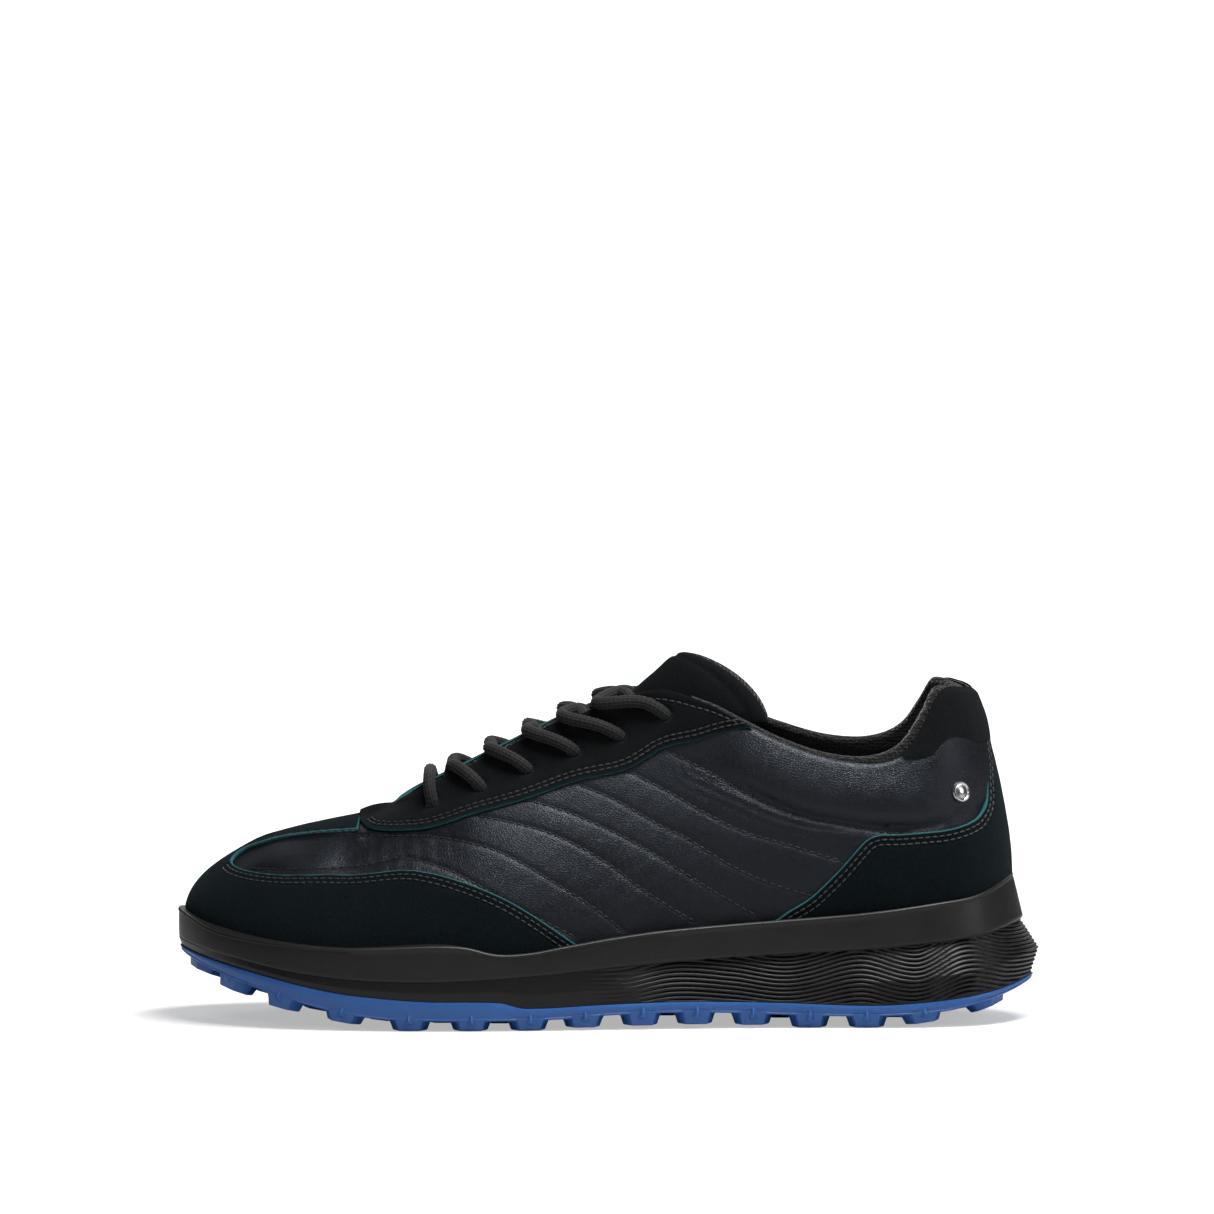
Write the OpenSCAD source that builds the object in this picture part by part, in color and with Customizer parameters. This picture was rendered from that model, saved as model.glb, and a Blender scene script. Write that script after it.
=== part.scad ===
// Left golf shoe with a moulded sole, a leather upper and a laced throat.
// X runs from the toe (-) to the heel (+), -Y is the outer side, +Z is up.
// The lugs under the ball of the foot and the heel stand on Z = 0.

/* [Size] */
// Overall length of the shoe, toe rim to heel flare
shoe_length = 300; // [264:2:330]

/* [Upper] */
// Thickness of the smooth leather panels
leather_t = 1.3; // [1.0:0.1:1.6]
// Thickness of the suede and nubuck overlays
overlay_t = 1.3; // [1.0:0.1:1.6]
// Thickness of the waterproof lining
lining_t = 0.6; // [0.5:0.1:0.8]
// Gap left between two layers of the upper
layer_gap = 0.3; // [0.2:0.05:0.4]
// Deepest padding of the collar
collar_pad = 5.2; // [3:0.2:6]
// Radius of the six punched eyelets on each side
eyelet_r = 2.6; // [2.5:0.1:3]
// Diameter of the round braided lace
lace_d = 4.4; // [3.6:0.2:4.6]

/* [Tongue] */
// Thickness of the tongue's nubuck face
tongue_face_t = 1.2; // [0.8:0.1:1.5]
// Thickness of the tongue's foam
tongue_foam_t = 4.2; // [2:0.2:5]

/* [Sole] */
// Thickness of the lasting board
board_t = 1.6; // [1.2:0.1:2]
// Thickness of the removable footbed's foam
footbed_t = 4.2; // [3:0.2:6]
// Length of one lug along the edge
lug_length = 14; // [10:1:16]
// Width of one edge lug across the edge
lug_width = 12; // [8:1:14]
// Diameter of the plain stud on the heel quarter
stud_d = 7.4; // [5:0.2:9]

/* [Hidden] */
$fn = 48;
drawn_length = 300;          // the length that every table below is drawn for
centre_y = 1.4;              // moves the drawn outline so that its box is centred
turn = 24;                   // one full trip round the shoe in panel units
step = 0.001;                // small step for slopes of the upper's surface

// ---- Driving curves --------------------------------------------------------
// The trip w starts at the heel (-12), runs along the outer side to the toe (0)
// and comes back along the inner side to the heel (12).

// Feather line, where the upper meets the board: [w, [x, y]]
FEATHER = [
    [-12, [136, 0]], [-11, [126, -24]], [-10, [103, -33]], [-9, [76, -34]],
    [-8, [48, -35]], [-7, [20, -38.5]], [-6, [-8, -43]], [-5, [-36, -47]],
    [-4, [-64, -48]], [-3, [-92, -44.5]], [-2, [-117, -35.5]], [-1, [-136, -18]],
    [0, [-143.5, 5]], [1, [-136, 26]], [2, [-117, 39]], [3, [-92, 45]],
    [4, [-64, 45]], [5, [-36, 39]], [6, [-8, 31.5]], [7, [20, 27.5]],
    [8, [48, 27.5]], [9, [76, 30]], [10, [103, 31]], [11, [126, 23]]];

// Ridge of the closed vamp, from the toe back to the throat: [w, [x, y, z]]
RIDGE = [
    [0, [-122, 4.8, 61.2]], [1, [-117, 4.6, 63]], [2, [-106, 4.2, 66]],
    [3, [-90, 3.5, 69.3]], [3.6, [-75, 3, 73]]];

// Free edge from the throat along the inner side, round the collar and back along
// the outer side, where w has a whole turn added: [w, [x, y, z]]
FREE_EDGE = [
    [3.6, [-75, 3, 73]], [3.75, [-72, 9, 75.8]], [4, [-65.5, 13, 79.8]],
    [4.4, [-54.5, 14.3, 85.2]], [5, [-38, 15, 93.5]], [6, [-10, 16, 107]],
    [6.9, [17, 18, 116]], [7.4, [33, 21, 113]], [7.9, [46.5, 23.5, 107]],
    [8.4, [60, 25, 101.5]], [9, [76, 26.5, 96.5]], [9.6, [92, 26.5, 95]],
    [10.1, [102.5, 25.5, 98]], [10.5, [109.5, 23, 106.5]], [10.9, [116, 18, 117]],
    [11.4, [123, 11, 117.5]], [12, [127.3, 0, 116]], [12.6, [123, -11.5, 117]],
    [13.1, [116, -19, 116]], [13.5, [109.5, -24.5, 104]], [13.9, [102.5, -28, 95]],
    [14.4, [92, -30, 92]], [15, [76, -31, 94]], [15.6, [60, -29.5, 99.5]],
    [16.1, [46.5, -26.5, 106]], [16.6, [33, -22, 112.5]], [17.1, [17, -17, 116]],
    [18, [-10, -14.5, 107]], [19, [-38, -12.5, 93.5]], [19.6, [-54.5, -10.8, 85.2]],
    [20, [-65.5, -8, 79.8]], [20.25, [-72, -3, 75.8]], [20.4, [-75, 3, 73]]];

// Fullness of the upper: how far the side swells out and up above the feather
// line, then out and down below the upper edge: [w, [out, up, out, down]]
FULLNESS = [
    [-12, [9.5, 18, 8, -32]], [-11, [8, 20, 6.5, -32]], [-10, [6, 22, 3.5, -27]],
    [-9, [5, 24, 3.5, -26]], [-8, [4, 26, 5, -28]], [-7, [3.5, 27, 9, -31]],
    [-6, [3.5, 26, 14, -22]], [-5, [4, 24, 20, -16]], [-4, [4.5, 21, 24, -11]],
    [-3, [5, 18, 26, -2]], [-2, [6, 16, 24, -4]], [-1, [6, 16, 17, -7]],
    [0, [6, 16, 14, -7]], [1, [6, 16, 17, -7]], [2, [6, 16, 24, -4]],
    [3, [5, 18, 26, -2]], [4, [4.5, 21, 22, -11]], [5, [3, 24, 17, -16]],
    [6, [2, 26, 12, -22]], [7, [2, 27, 8, -31]], [8, [2, 26, 5, -28]],
    [9, [3, 24, 3.5, -26]], [10, [5, 22, 3.5, -27]], [11, [8, 20, 6.5, -32]]];

// Heights along the shoe: [x, z]
FEATHER_Z = [[-150, 29], [-135, 24], [-115, 19], [-90, 16], [-60, 14.5], [-30, 15.5],
             [0, 19], [30, 23], [60, 26], [90, 28.5], [140, 31]];
RIM_Z = [[-150, 40.5], [-147, 38], [-140, 34], [-130, 31.8], [-112, 30], [-90, 29],
         [-60, 30], [-50, 29.5], [-39, 27], [-28, 27.3], [-15, 29.5], [2, 32.3],
         [20, 34.6], [60, 37.8], [87, 40], [115, 43.5], [129, 45.8], [142, 51.5]];
BAND_Z = [[-150, 28.5], [-133, 25], [-112, 20.8], [-98, 19], [-85, 18], [-59, 17.7],
          [-24, 19.8], [0, 22.2], [28, 24.5], [60, 26.4], [101, 29], [129, 32], [146, 36]];
SPLIT_Z = [[-151, 26], [-135, 22], [-120, 18.5], [-105, 15], [-90, 12.5], [-65, 10.5],
           [-38, 10], [-29, 8], [0, 9], [25, 9.6], [60, 9], [88, 8], [105, 8.5],
           [125, 10.5], [140, 13.5], [151, 17]];
TREAD_Z = [[-151, 24], [-137, 18.5], [-120, 12.9], [-105, 8.6], [-90, 5.4], [-75, 3.8],
           [-45, 3.4], [-18, 3.8], [0, 5], [20, 5.6], [40, 5.4], [60, 4.6], [85, 4],
           [105, 4.4], [118, 5.6], [130, 8.2], [140, 11], [151, 15]];
LUG_Z = [[-143, 18], [-132, 12.5], [-114, 7], [-92, 2.6], [-72, 0], [-60, 0], [-22, 0],
         [-9, 0.8], [30, 1.4], [50, 1], [66, 0], [95, 0], [109, 1.4], [130, 5], [144, 12]];

// ---- Curves and surface ----------------------------------------------------
function wrap(w) = w < -12 ? w + turn : w >= 12 ? w - turn : w;
function span(a, b) = (b - a + turn) % turn;
function seek(tab, v, lo, hi) =
    hi - lo < 2 ? (tab[hi][0] <= v ? hi : lo)
    : let (mid = floor((lo + hi) / 2))
      tab[mid][0] <= v ? seek(tab, v, mid, hi) : seek(tab, v, lo, mid);
function hermite(a, ma, b, mb, h, u) =
    a * (2 * u * u * u - 3 * u * u + 1) + ma * (h * (u * u * u - 2 * u * u + u))
    + b * (3 * u * u - 2 * u * u * u) + mb * (h * (u * u * u - u * u));
// Slopes at the knots of a closed table
function loop_slopes(tab) = let (n = len(tab)) [
    for (i = [0 : n - 1])
        let (p = tab[(i + n - 1) % n], q = tab[i], r = tab[(i + 1) % n],
             before = span(p[0], q[0]), after = span(q[0], r[0]))
        ((q[1] - p[1]) / before * after + (r[1] - q[1]) / after * before) / (before + after)];
function loop_at(tab, slopes, w) =
    let (v = wrap(w), n = len(tab), i = seek(tab, v, 0, n - 1), j = (i + 1) % n,
         h = span(tab[i][0], tab[j][0]))
    hermite(tab[i][1], slopes[i], tab[j][1], slopes[j], h, (v - tab[i][0]) / h);
// A value from an open table, smooth through its points
function knot_slope(tab, i) =
    let (n = len(tab), p = tab[max(i - 1, 0)], q = tab[min(i + 1, n - 1)])
    (q[1] - p[1]) / (q[0] - p[0]);
function height(tab, x) =
    let (n = len(tab), v = min(max(x, tab[0][0]), tab[n - 1][0]),
         i = min(seek(tab, v, 0, n - 1), n - 2), h = tab[i + 1][0] - tab[i][0])
    hermite(tab[i][1], knot_slope(tab, i), tab[i + 1][1], knot_slope(tab, i + 1),
            h, (v - tab[i][0]) / h);

FEATHER_S = loop_slopes(FEATHER);
FULL_S = loop_slopes(FULLNESS);
ridge_end = 3.6;             // the vamp is closed on top between -3.6 and 3.6

function unit(v) = v / norm(v);
function feather(w) = loop_at(FEATHER, FEATHER_S, w) + [0, centre_y];
function outward(w) =
    let (d = feather(w + 0.02) - feather(w - 0.02)) unit([-d[1], d[0], 0]);
function top_edge(w) =
    let (v = wrap(w))
    (abs(v) <= ridge_end ? height(RIDGE, abs(v))
        : height(FREE_EDGE, v < 0 ? v + turn : v)) + [0, centre_y, 0];
// The four control points of the upper's rib at w
function rib(w) =
    let (f = feather(w), foot = [f[0], f[1], height(FEATHER_Z, f[0])], head = top_edge(w),
         full = loop_at(FULLNESS, FULL_S, w), n = outward(w))
    [foot, foot + n * full[0] + [0, 0, full[1]], head + n * full[2] + [0, 0, full[3]], head];
function bezier(r, t) =
    let (s = 1 - t)
    r[0] * (s * s * s) + r[1] * (3 * s * s * t) + r[2] * (3 * s * t * t) + r[3] * (t * t * t);
function face_at(w, t) = bezier(rib(w), t);
function side_normal(w, t) =
    let (lo = max(t - step, 0), hi = min(t + step, 1),
         along = face_at(w + step, t) - face_at(w - step, t),
         up = face_at(w, hi) - face_at(w, lo))
    unit(cross(up, along));
// Outward normal; on the closed ridge both sides share one
function skin_normal(w, t) =
    t > 0.999 && abs(wrap(w)) <= ridge_end
    ? let (s = max(abs(wrap(w)), 0.05)) unit(side_normal(-s, 1) + side_normal(s, 1))
    : side_normal(w, t);
// A point of the upper, off millimetres outside the smooth leather's face
function skin(w, t, off) = face_at(w, t) + skin_normal(w, t) * off;

// ---- Solids from grids -----------------------------------------------------
// A grid is a list of columns of [w, t]. Each gives an outer and an inner sheet,
// closed by walls along the rows and columns that are asked for.
function sheet_points(grid, inside, outside) =
    concat([for (c = grid) for (p = c) skin(p[0], p[1], outside(p))],
           [for (c = grid) for (p = c) skin(p[0], p[1], inside(p))]);
function quad(a, b, c, d) = [[a, b, c], [a, c, d]];
function sheet_faces(base, nc, nr, foot, head, first, last) =
    let (inner = base + nc * nr)
    concat(
        [for (i = [0 : nc - 2], j = [0 : nr - 2]) let (a = i * nr + j)
            each quad(base + a, base + a + nr, base + a + nr + 1, base + a + 1)],
        [for (i = [0 : nc - 2], j = [0 : nr - 2]) let (a = i * nr + j)
            each quad(inner + a + 1, inner + a + nr + 1, inner + a + nr, inner + a)],
        [for (i = [0 : nc - 2]) if (foot(i)) let (a = i * nr)
            each quad(base + a + nr, base + a, inner + a, inner + a + nr)],
        [for (i = [0 : nc - 2]) if (head(i)) let (a = i * nr + nr - 1)
            each quad(base + a, base + a + nr, inner + a + nr, inner + a)],
        [for (j = [0 : nr - 2]) if (first(j)) let (a = j)
            each quad(base + a, base + a + 1, inner + a + 1, inner + a)],
        [for (j = [0 : nr - 2]) if (last(j)) let (a = (nc - 1) * nr + j)
            each quad(base + a + 1, base + a, inner + a, inner + a + 1)]);
ALL = function (i) true;
NONE = function (i) false;
function level(off) = function (p) off;
// Panels are lists of [grid, foot, head, first, last]; their shared borders merge
module skin_solid(panels, inside, outside) {
    sizes = [for (p = panels) 2 * len(p[0]) * len(p[0][0])];
    bases = [for (i = 0, s = 0; i < len(panels); s = s + sizes[i], i = i + 1) s];
    polyhedron(
        points = [for (p = panels) each sheet_points(p[0], inside, outside)],
        faces = [for (i = [0 : len(panels) - 1]) let (p = panels[i])
            each sheet_faces(bases[i], len(p[0]), len(p[0][0]), p[1], p[2], p[3], p[4])],
        convexity = 10);
}
function steps(lo, hi, n) = [for (i = [0 : n - 1]) lo + (hi - lo) * i / (n - 1)];
// Columns at the given w, with rows between two heights given as functions of w
function columns(ws, nr, low, high) = [
    for (w = ws) [for (t = steps(low(w), high(w), nr)) [w, t]]];
function lower(v) = function (w) v;
function backwards(list) = [for (i = [len(list) - 1 : -1 : 0]) list[i]];
// The same panel on the inner side
function mirrored(grid) = backwards([for (c = grid) [for (p = c) [-p[0], p[1]]]]);

// Closed rings stacked from the bottom face to the top face, all of one length
module ring_solid(rings) {
    n = len(rings[0]);
    k = len(rings);
    half = n / 2;
    top = (k - 1) * n;
    polyhedron(
        points = [for (r = rings) each r],
        faces = concat(
            [for (j = [0 : k - 2], i = [0 : n - 1]) let (m = (i + 1) % n)
                each quad(j * n + i, j * n + m, (j + 1) * n + m, (j + 1) * n + i)],
            [for (i = [1 : half - 2]) each quad(i + 1, i, n - i, n - i - 1)],
            [[1, 0, n - 1], [half, half - 1, half + 1]],
            [for (i = [1 : half - 2])
                each quad(top + i, top + i + 1, top + n - i - 1, top + n - i)],
            [[top, top + 1, top + n - 1], [top + half - 1, top + half, top + half + 1]]),
        convexity = 10);
}
ring_count = 72;
RING_W = [for (i = [0 : ring_count - 1]) -12 + turn * i / ring_count];
// A ring at a distance outside the feather line, at a height that depends on x
function plan_ring(out, z) = [
    for (w = RING_W) let (f = feather(w), n = outward(w), o = out(w))
        [f[0] + n[0] * o, f[1] + n[1] * o, z(f[0] + n[0] * o)]];
function skin_ring(t, off) = [for (w = RING_W) skin(w, t, off)];

// ---- Sole ------------------------------------------------------------------
// Distance outside the feather line at four levels of the sole's side wall
RIM_OUT = [[0, 6.8], [2, 7], [4, 7], [8, 7], [10, 6.6], [11, 6], [12, 5.2]];
BAND_OUT = [[0, 6.8], [2, 7.4], [4, 7.4], [8, 7.6], [10, 7.6], [11, 8.2], [12, 9]];
FLARE_OUT = [[0, 6.4], [2, 6.6], [4, 6.6], [8, 7], [9, 7.6], [10, 8.8], [11, 11.6], [12, 14.1]];
SPLIT_OUT = [[0, 5.8], [2, 6.2], [4, 6.2], [8, 6.6], [9, 7], [10, 7.6], [11, 9.6], [12, 12]];
function out_at(tab) = function (w) height(tab, abs(wrap(w)));
function inset(tab, by) = function (w) height(tab, abs(wrap(w))) - by;
function z_of(tab, by) = function (x) height(tab, x) + by;
function between(tab_a, tab_b, share) =
    function (x) height(tab_a, x) * (1 - share) + height(tab_b, x) * share;
rim_clear = 0.45;            // between the overlays and the rim's inner wall
rim_inside = overlay_t + layer_gap + rim_clear;
floor_drop = board_t + 0.6;  // the sole's floor below the feather line
sole_gap = 0.15;
plate_t = 2.8;               // the outsole inside its turned-up edge
lip = 3.5;                   // width of that edge

// Height up the upper, as t, at which the rim's top edge meets it
RIM_T = [[0, 0.27], [1, 0.23], [2, 0.215], [3, 0.2], [4, 0.215], [4.4, 0.2], [5, 0.145],
         [6, 0.145], [8, 0.14], [9, 0.155], [10, 0.19], [11, 0.215], [12, 0.28]];
function rim_ring(off, part) = [
    for (w = RING_W) skin(w, height(RIM_T, abs(wrap(w))) * part, off)];

module outsole_plate() {
    ring_solid([
        plan_ring(inset(SPLIT_OUT, 3.2), z_of(TREAD_Z, 0)),
        plan_ring(inset(SPLIT_OUT, 0.9), z_of(TREAD_Z, 0.5)),
        plan_ring(inset(SPLIT_OUT, -0.5), between(TREAD_Z, SPLIT_Z, 0.45)),
        plan_ring(inset(SPLIT_OUT, 0), z_of(SPLIT_Z, -sole_gap)),
        plan_ring(inset(SPLIT_OUT, lip), z_of(TREAD_Z, plate_t))]);
}
function lug_z(x) = max(0, height(LUG_Z, x));
LUG_X = [-141, -130, -113, -92, -69, -48, -28, -9, 11, 30, 50, 70, 90, 109, 129, 142];
function edge_w(x, side, lo = 0, hi = 12) =
    hi - lo < 0.002 ? side * lo
    : let (mid = (lo + hi) / 2)
      feather(side * mid)[0] < x ? edge_w(x, side, mid, hi) : edge_w(x, side, lo, mid);
// Steepness of the tread, in degrees, where a lug stands; level where it is nearly so
function tread_tilt(x) =
    let (a = atan((lug_z(x + 4) - lug_z(x - 4)) / 8)) abs(a) < 5 ? 0 : a;
// A six-sided lug standing on z = 0, its long side along x
module lug(length, width, tall) {
    chamfer = width * 0.22;
    linear_extrude(tall) polygon([
        [-length / 2, 0], [-length / 2 + chamfer, -width / 2], [length / 2 - chamfer, -width / 2],
        [length / 2, 0], [length / 2 - chamfer, width / 2], [-length / 2 + chamfer, width / 2]]);
}
module edge_lug(x, side) {
    w = edge_w(x, side);
    f = feather(w);
    n = outward(w);
    from_edge = height(SPLIT_OUT, abs(w)) - lug_width / 2 - 0.4;
    translate([f[0] + n[0] * from_edge, f[1] + n[1] * from_edge, lug_z(x)])
        rotate([0, -tread_tilt(x), 0])
            rotate([0, 0, atan2(n[1], n[0]) + 90])
                lug(lug_length, lug_width, height(TREAD_Z, x) - lug_z(x) + 1.2);
}
function mid_y(x) = (feather(edge_w(x, -1))[1] + feather(edge_w(x, 1))[1]) / 2;
module middle_lug(x, across) {
    translate([x, mid_y(x) + across, lug_z(x)])
        rotate([0, -tread_tilt(x), 0])
            lug(lug_length * 0.8, lug_width * 0.75,
                height(TREAD_Z, x) - lug_z(x) + 1.2);
}
module outsole() {
    color("steelblue") union() {
        outsole_plate();
        for (x = LUG_X, side = [-1, 1]) edge_lug(x, side);
        for (x = [-102, -80, -58, -38]) for (across = [-17, 17]) middle_lug(x, across);
        for (x = [-120, -91, -69, -48, -18, 20, 60, 100, 122]) middle_lug(x, 0);
    }
}
// A steel stiffener lies in a pocket of the sole under the arch
shank_from = -18;
shank_length = 84;
shank_width = 17;
shank_t = 2;
shank_tilt = 6.6;
module shank_bar(length, width, thick) {
    translate([shank_from, mid_y(0), height(FEATHER_Z, shank_from) - floor_drop - shank_t - 0.9])
        rotate([0, -shank_tilt, 0])
            translate([-(length - shank_length) / 2, 0, -(thick - shank_t) / 2])
                linear_extrude(thick) union() {
                    translate([width / 2, -width / 2]) square([length - width, width]);
                    translate([width / 2, 0]) circle(width / 2);
                    translate([length - width / 2, 0]) circle(width / 2);
                }
}
module shank() {
    color("silver") shank_bar(shank_length, shank_width, shank_t);
}
module midsole_body() {
    ring_solid([
        plan_ring(inset(SPLIT_OUT, lip + sole_gap), z_of(TREAD_Z, plate_t + sole_gap)),
        plan_ring(inset(SPLIT_OUT, 0), z_of(SPLIT_Z, 0)),
        plan_ring(out_at(FLARE_OUT), between(SPLIT_Z, BAND_Z, 0.42)),
        plan_ring(inset(BAND_OUT, 1.1), z_of(BAND_Z, -1.2)),
        plan_ring(out_at(BAND_OUT), z_of(BAND_Z, 0)),
        plan_ring(inset(RIM_OUT, -0.5), between(BAND_Z, RIM_Z, 0.5)),
        plan_ring(out_at(RIM_OUT), z_of(RIM_Z, -0.9)),
        plan_ring(inset(RIM_OUT, 0.9), z_of(RIM_Z, 0)),
        rim_ring(rim_inside, 1),
        rim_ring(rim_inside, 0.5),
        rim_ring(rim_inside, 0.1),
        plan_ring(lower(0.2), z_of(FEATHER_Z, -floor_drop))]);
}
module midsole() {
    color([0.16, 0.15, 0.15]) difference() {
        midsole_body();
        shank_bar(shank_length + 0.4, shank_width + 0.4, shank_t + 3);
    }
}
module lasting_board() {
    color("tan") ring_solid([
        plan_ring(lower(-0.6), z_of(FEATHER_Z, -board_t - 0.35)),
        plan_ring(lower(-0.6), z_of(FEATHER_Z, -0.35))]);
}
footbed_in = -5.2;           // the footbed's edge, inside the feather line
HEEL_CUP = [[-150, 0.5], [0, 1], [50, 3.5], [90, 6], [140, 7]];
function cup(by) = function (x) height(FEATHER_Z, x) + height(HEEL_CUP, x) + by;
module footbed() {
    color("dimgray") ring_solid([
        plan_ring(lower(footbed_in - 1.2), z_of(FEATHER_Z, 0.2)),
        plan_ring(lower(footbed_in), z_of(FEATHER_Z, 1.4)),
        plan_ring(lower(footbed_in), cup(footbed_t)),
        plan_ring(lower(footbed_in - 2.4), cup(footbed_t)),
        plan_ring(lower(footbed_in - 12), z_of(FEATHER_Z, footbed_t + 1.2)),
        plan_ring(lower(footbed_in - 20), z_of(FEATHER_Z, footbed_t))]);
}
module footbed_cover() {
    color("black") ring_solid([
        plan_ring(lower(footbed_in - 20), z_of(FEATHER_Z, footbed_t + 0.3)),
        plan_ring(lower(footbed_in - 11.6), z_of(FEATHER_Z, footbed_t + 1.6)),
        plan_ring(lower(footbed_in - 2.2), cup(footbed_t + 0.3)),
        plan_ring(lower(footbed_in - 0.3), cup(footbed_t + 0.3)),
        plan_ring(lower(footbed_in - 2.6), cup(footbed_t + 1)),
        plan_ring(lower(footbed_in - 12), z_of(FEATHER_Z, footbed_t + 2.3)),
        plan_ring(lower(footbed_in - 20.4), z_of(FEATHER_Z, footbed_t + 1.1))]);
}

// ---- Upper -----------------------------------------------------------------
overlay_in = layer_gap;
overlay_out = overlay_in + overlay_t;
foot_t = 0.035;              // where every panel starts above the feather line
// The lacing panel's lower edge on both sides: [w, t], from the vamp to the collar
EYESTAY_LOW = [[3.1, 0.94], [3.2, 0.88], [3.35, 0.82], [3.6, 0.775], [4, 0.742], [4.4, 0.735],
               [5.3, 0.725], [6.4, 0.73], [6.9, 0.785], [7.4, 0.86], [7.85, 0.955], [8.05, 0.99]];
eyestay_front = 3.1;
eyestay_back = 8.05;
function eyestay_low(w) = lookup(abs(wrap(w)), EYESTAY_LOW);
// Smooth leather: up to the collar or ridge, and only a seam's width under the eyestay
function leather_top(w) =
    let (s = abs(wrap(w)))
    s < 3.3 ? 0.985 : s < 8.3 ? min(0.985, eyestay_low(s) + 0.07) : 0.985;
QUARTER_W = concat(steps(-11.97, -3.85, 26), [-ridge_end], steps(-3.4, -0.03, 18));
module quarter(side) {
    grid = columns(QUARTER_W, 8, lower(foot_t), function (w) leather_top(w));
    skin_solid([[side < 0 ? grid : mirrored(grid), ALL, ALL, ALL, ALL]],
               level(-leather_t), level(0));
}
module quarter_outer() {
    color([0.13, 0.14, 0.17]) quarter(-1);
}
module quarter_inner() {
    color([0.13, 0.14, 0.17]) quarter(1);
}
// Suede toe guard: a bumper with a wing on each side and a strip up the ridge
WING_HIGH = [[0.7, 0.7], [1, 0.655], [1.4, 0.615], [1.9, 0.583], [2.4, 0.565], [3.1, 0.552],
             [3.8, 0.545], [4.1, 0.518], [4.5, 0.455], [5, 0.36], [5.5, 0.245], [5.85, 0.15]];
STRIP_LOW = [[0.7, 0.87], [1.5, 0.885], [2.2, 0.867], [2.8, 0.836], [3.15, 0.825]];
window_w = 0.7;
wing_back = 5.85;
strip_back = 3.05;
wing_rows = 7;
strip_rows = 4;
toe_rows = concat(steps(foot_t, 0.7, wing_rows), [0.785], steps(0.87, 1, strip_rows));
toe_open_from = wing_rows - 1;
toe_open_to = wing_rows + 1;
module toe_guard() {
    wing = columns(concat(steps(-wing_back, -3.85, 9), [-ridge_end], steps(-3.4, -window_w, 13)),
                   wing_rows, lower(foot_t),
                   function (w) lookup(-w, WING_HIGH));
    strip = columns(steps(-strip_back, -window_w, 11), strip_rows,
                    function (w) lookup(-w, STRIP_LOW), lower(1));
    toe = [for (i = [-4 : 4]) [for (t = toe_rows) [window_w * i / 4, t]]];
    open = function (j) j >= toe_open_from && j < toe_open_to;
    color([0.05, 0.09, 0.1]) skin_solid([
        [toe, ALL, NONE, open, open],
        [wing, ALL, ALL, ALL, NONE],
        [mirrored(wing), ALL, ALL, NONE, ALL],
        [strip, ALL, NONE, ALL, NONE],
        [mirrored(strip), ALL, NONE, NONE, ALL]],
        level(overlay_in), level(overlay_out));
}
// Eyelets, from the vamp to the collar: [w, t] on the inner side, mirrored outside
EYELETS = [[4.16, 0.87], [4.75, 0.853], [5.32, 0.85], [5.91, 0.848], [6.45, 0.858], [6.98, 0.912]];
module eyelet_holes(reach) {
    for (e = EYELETS, side = [-1, 1]) {
        p = skin(side * e[0], e[1], 0);
        n = skin_normal(side * e[0], e[1]);
        translate(p - n * reach)
            rotate([0, acos(n[2]), atan2(n[1], n[0])]) cylinder(h = 2 * reach, r = eyelet_r);
    }
}
module lacing_panel(from, to, low, inside, outside, nc) {
    front = columns(steps(-ridge_end, -from, 5), 6, low, lower(1));
    back = columns(concat(steps(-to, -4.3, nc), [-4.1, -3.9, -3.75, -ridge_end]), 6, low,
                   lower(1));
    skin_solid([
        [front, ALL, NONE, NONE, ALL],
        [mirrored(front), ALL, NONE, ALL, NONE],
        [back, ALL, ALL, ALL, NONE],
        [mirrored(back), ALL, ALL, NONE, ALL]],
        level(inside), level(outside));
}
module eyestay() {
    color([0.12, 0.13, 0.14]) difference() {
        lacing_panel(eyestay_front, eyestay_back, function (w) eyestay_low(w),
                     overlay_in, overlay_out, 18);
        eyelet_holes(4);
    }
}
module eyestay_backing() {
    color("black") difference() {
        lacing_panel(3.4, 7.3, function (w) min(0.93, eyestay_low(w) + 0.09),
                     -leather_t - layer_gap / 2, -layer_gap / 2, 14);
        eyelet_holes(4);
    }
}
// Suede overlay round the heel: [distance from the heel in w, t]
HEEL_HIGH = [[0, 0.9], [0.2, 0.89], [0.35, 0.86], [0.45, 0.8], [0.52, 0.68], [0.62, 0.6],
             [0.76, 0.553], [0.95, 0.52], [1.25, 0.512], [1.6, 0.565], [2.1, 0.625], [2.4, 0.618],
             [2.6, 0.56], [2.85, 0.42], [3.1, 0.315], [3.4, 0.22], [3.8, 0.12]];
heel_reach = 3.8;
module heel_overlay() {
    grid = columns(steps(-12 - heel_reach, -12 + heel_reach, 47), 7, lower(foot_t),
                   function (w) lookup(abs(w + 12), HEEL_HIGH));
    color([0.05, 0.09, 0.1]) skin_solid([[grid, ALL, ALL, ALL, ALL]],
                                        level(overlay_in), level(overlay_out));
}
// Nubuck tab over the back of the collar, above the heel overlay
TAB_LOW = [[0, 0.94], [0.3, 0.91], [0.45, 0.86], [0.58, 0.8], [0.75, 0.785], [1.1, 0.775],
           [1.4, 0.84], [1.75, 0.93], [1.9, 0.965]];
tab_reach = 1.9;
module heel_tab() {
    grid = columns(steps(-12 - tab_reach, -12 + tab_reach, 21), 4,
                   function (w) lookup(abs(w + 12), TAB_LOW), lower(1));
    color([0.12, 0.13, 0.14]) skin_solid([[grid, ALL, ALL, ALL, ALL]],
                                         level(overlay_in), level(overlay_out));
}
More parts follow.
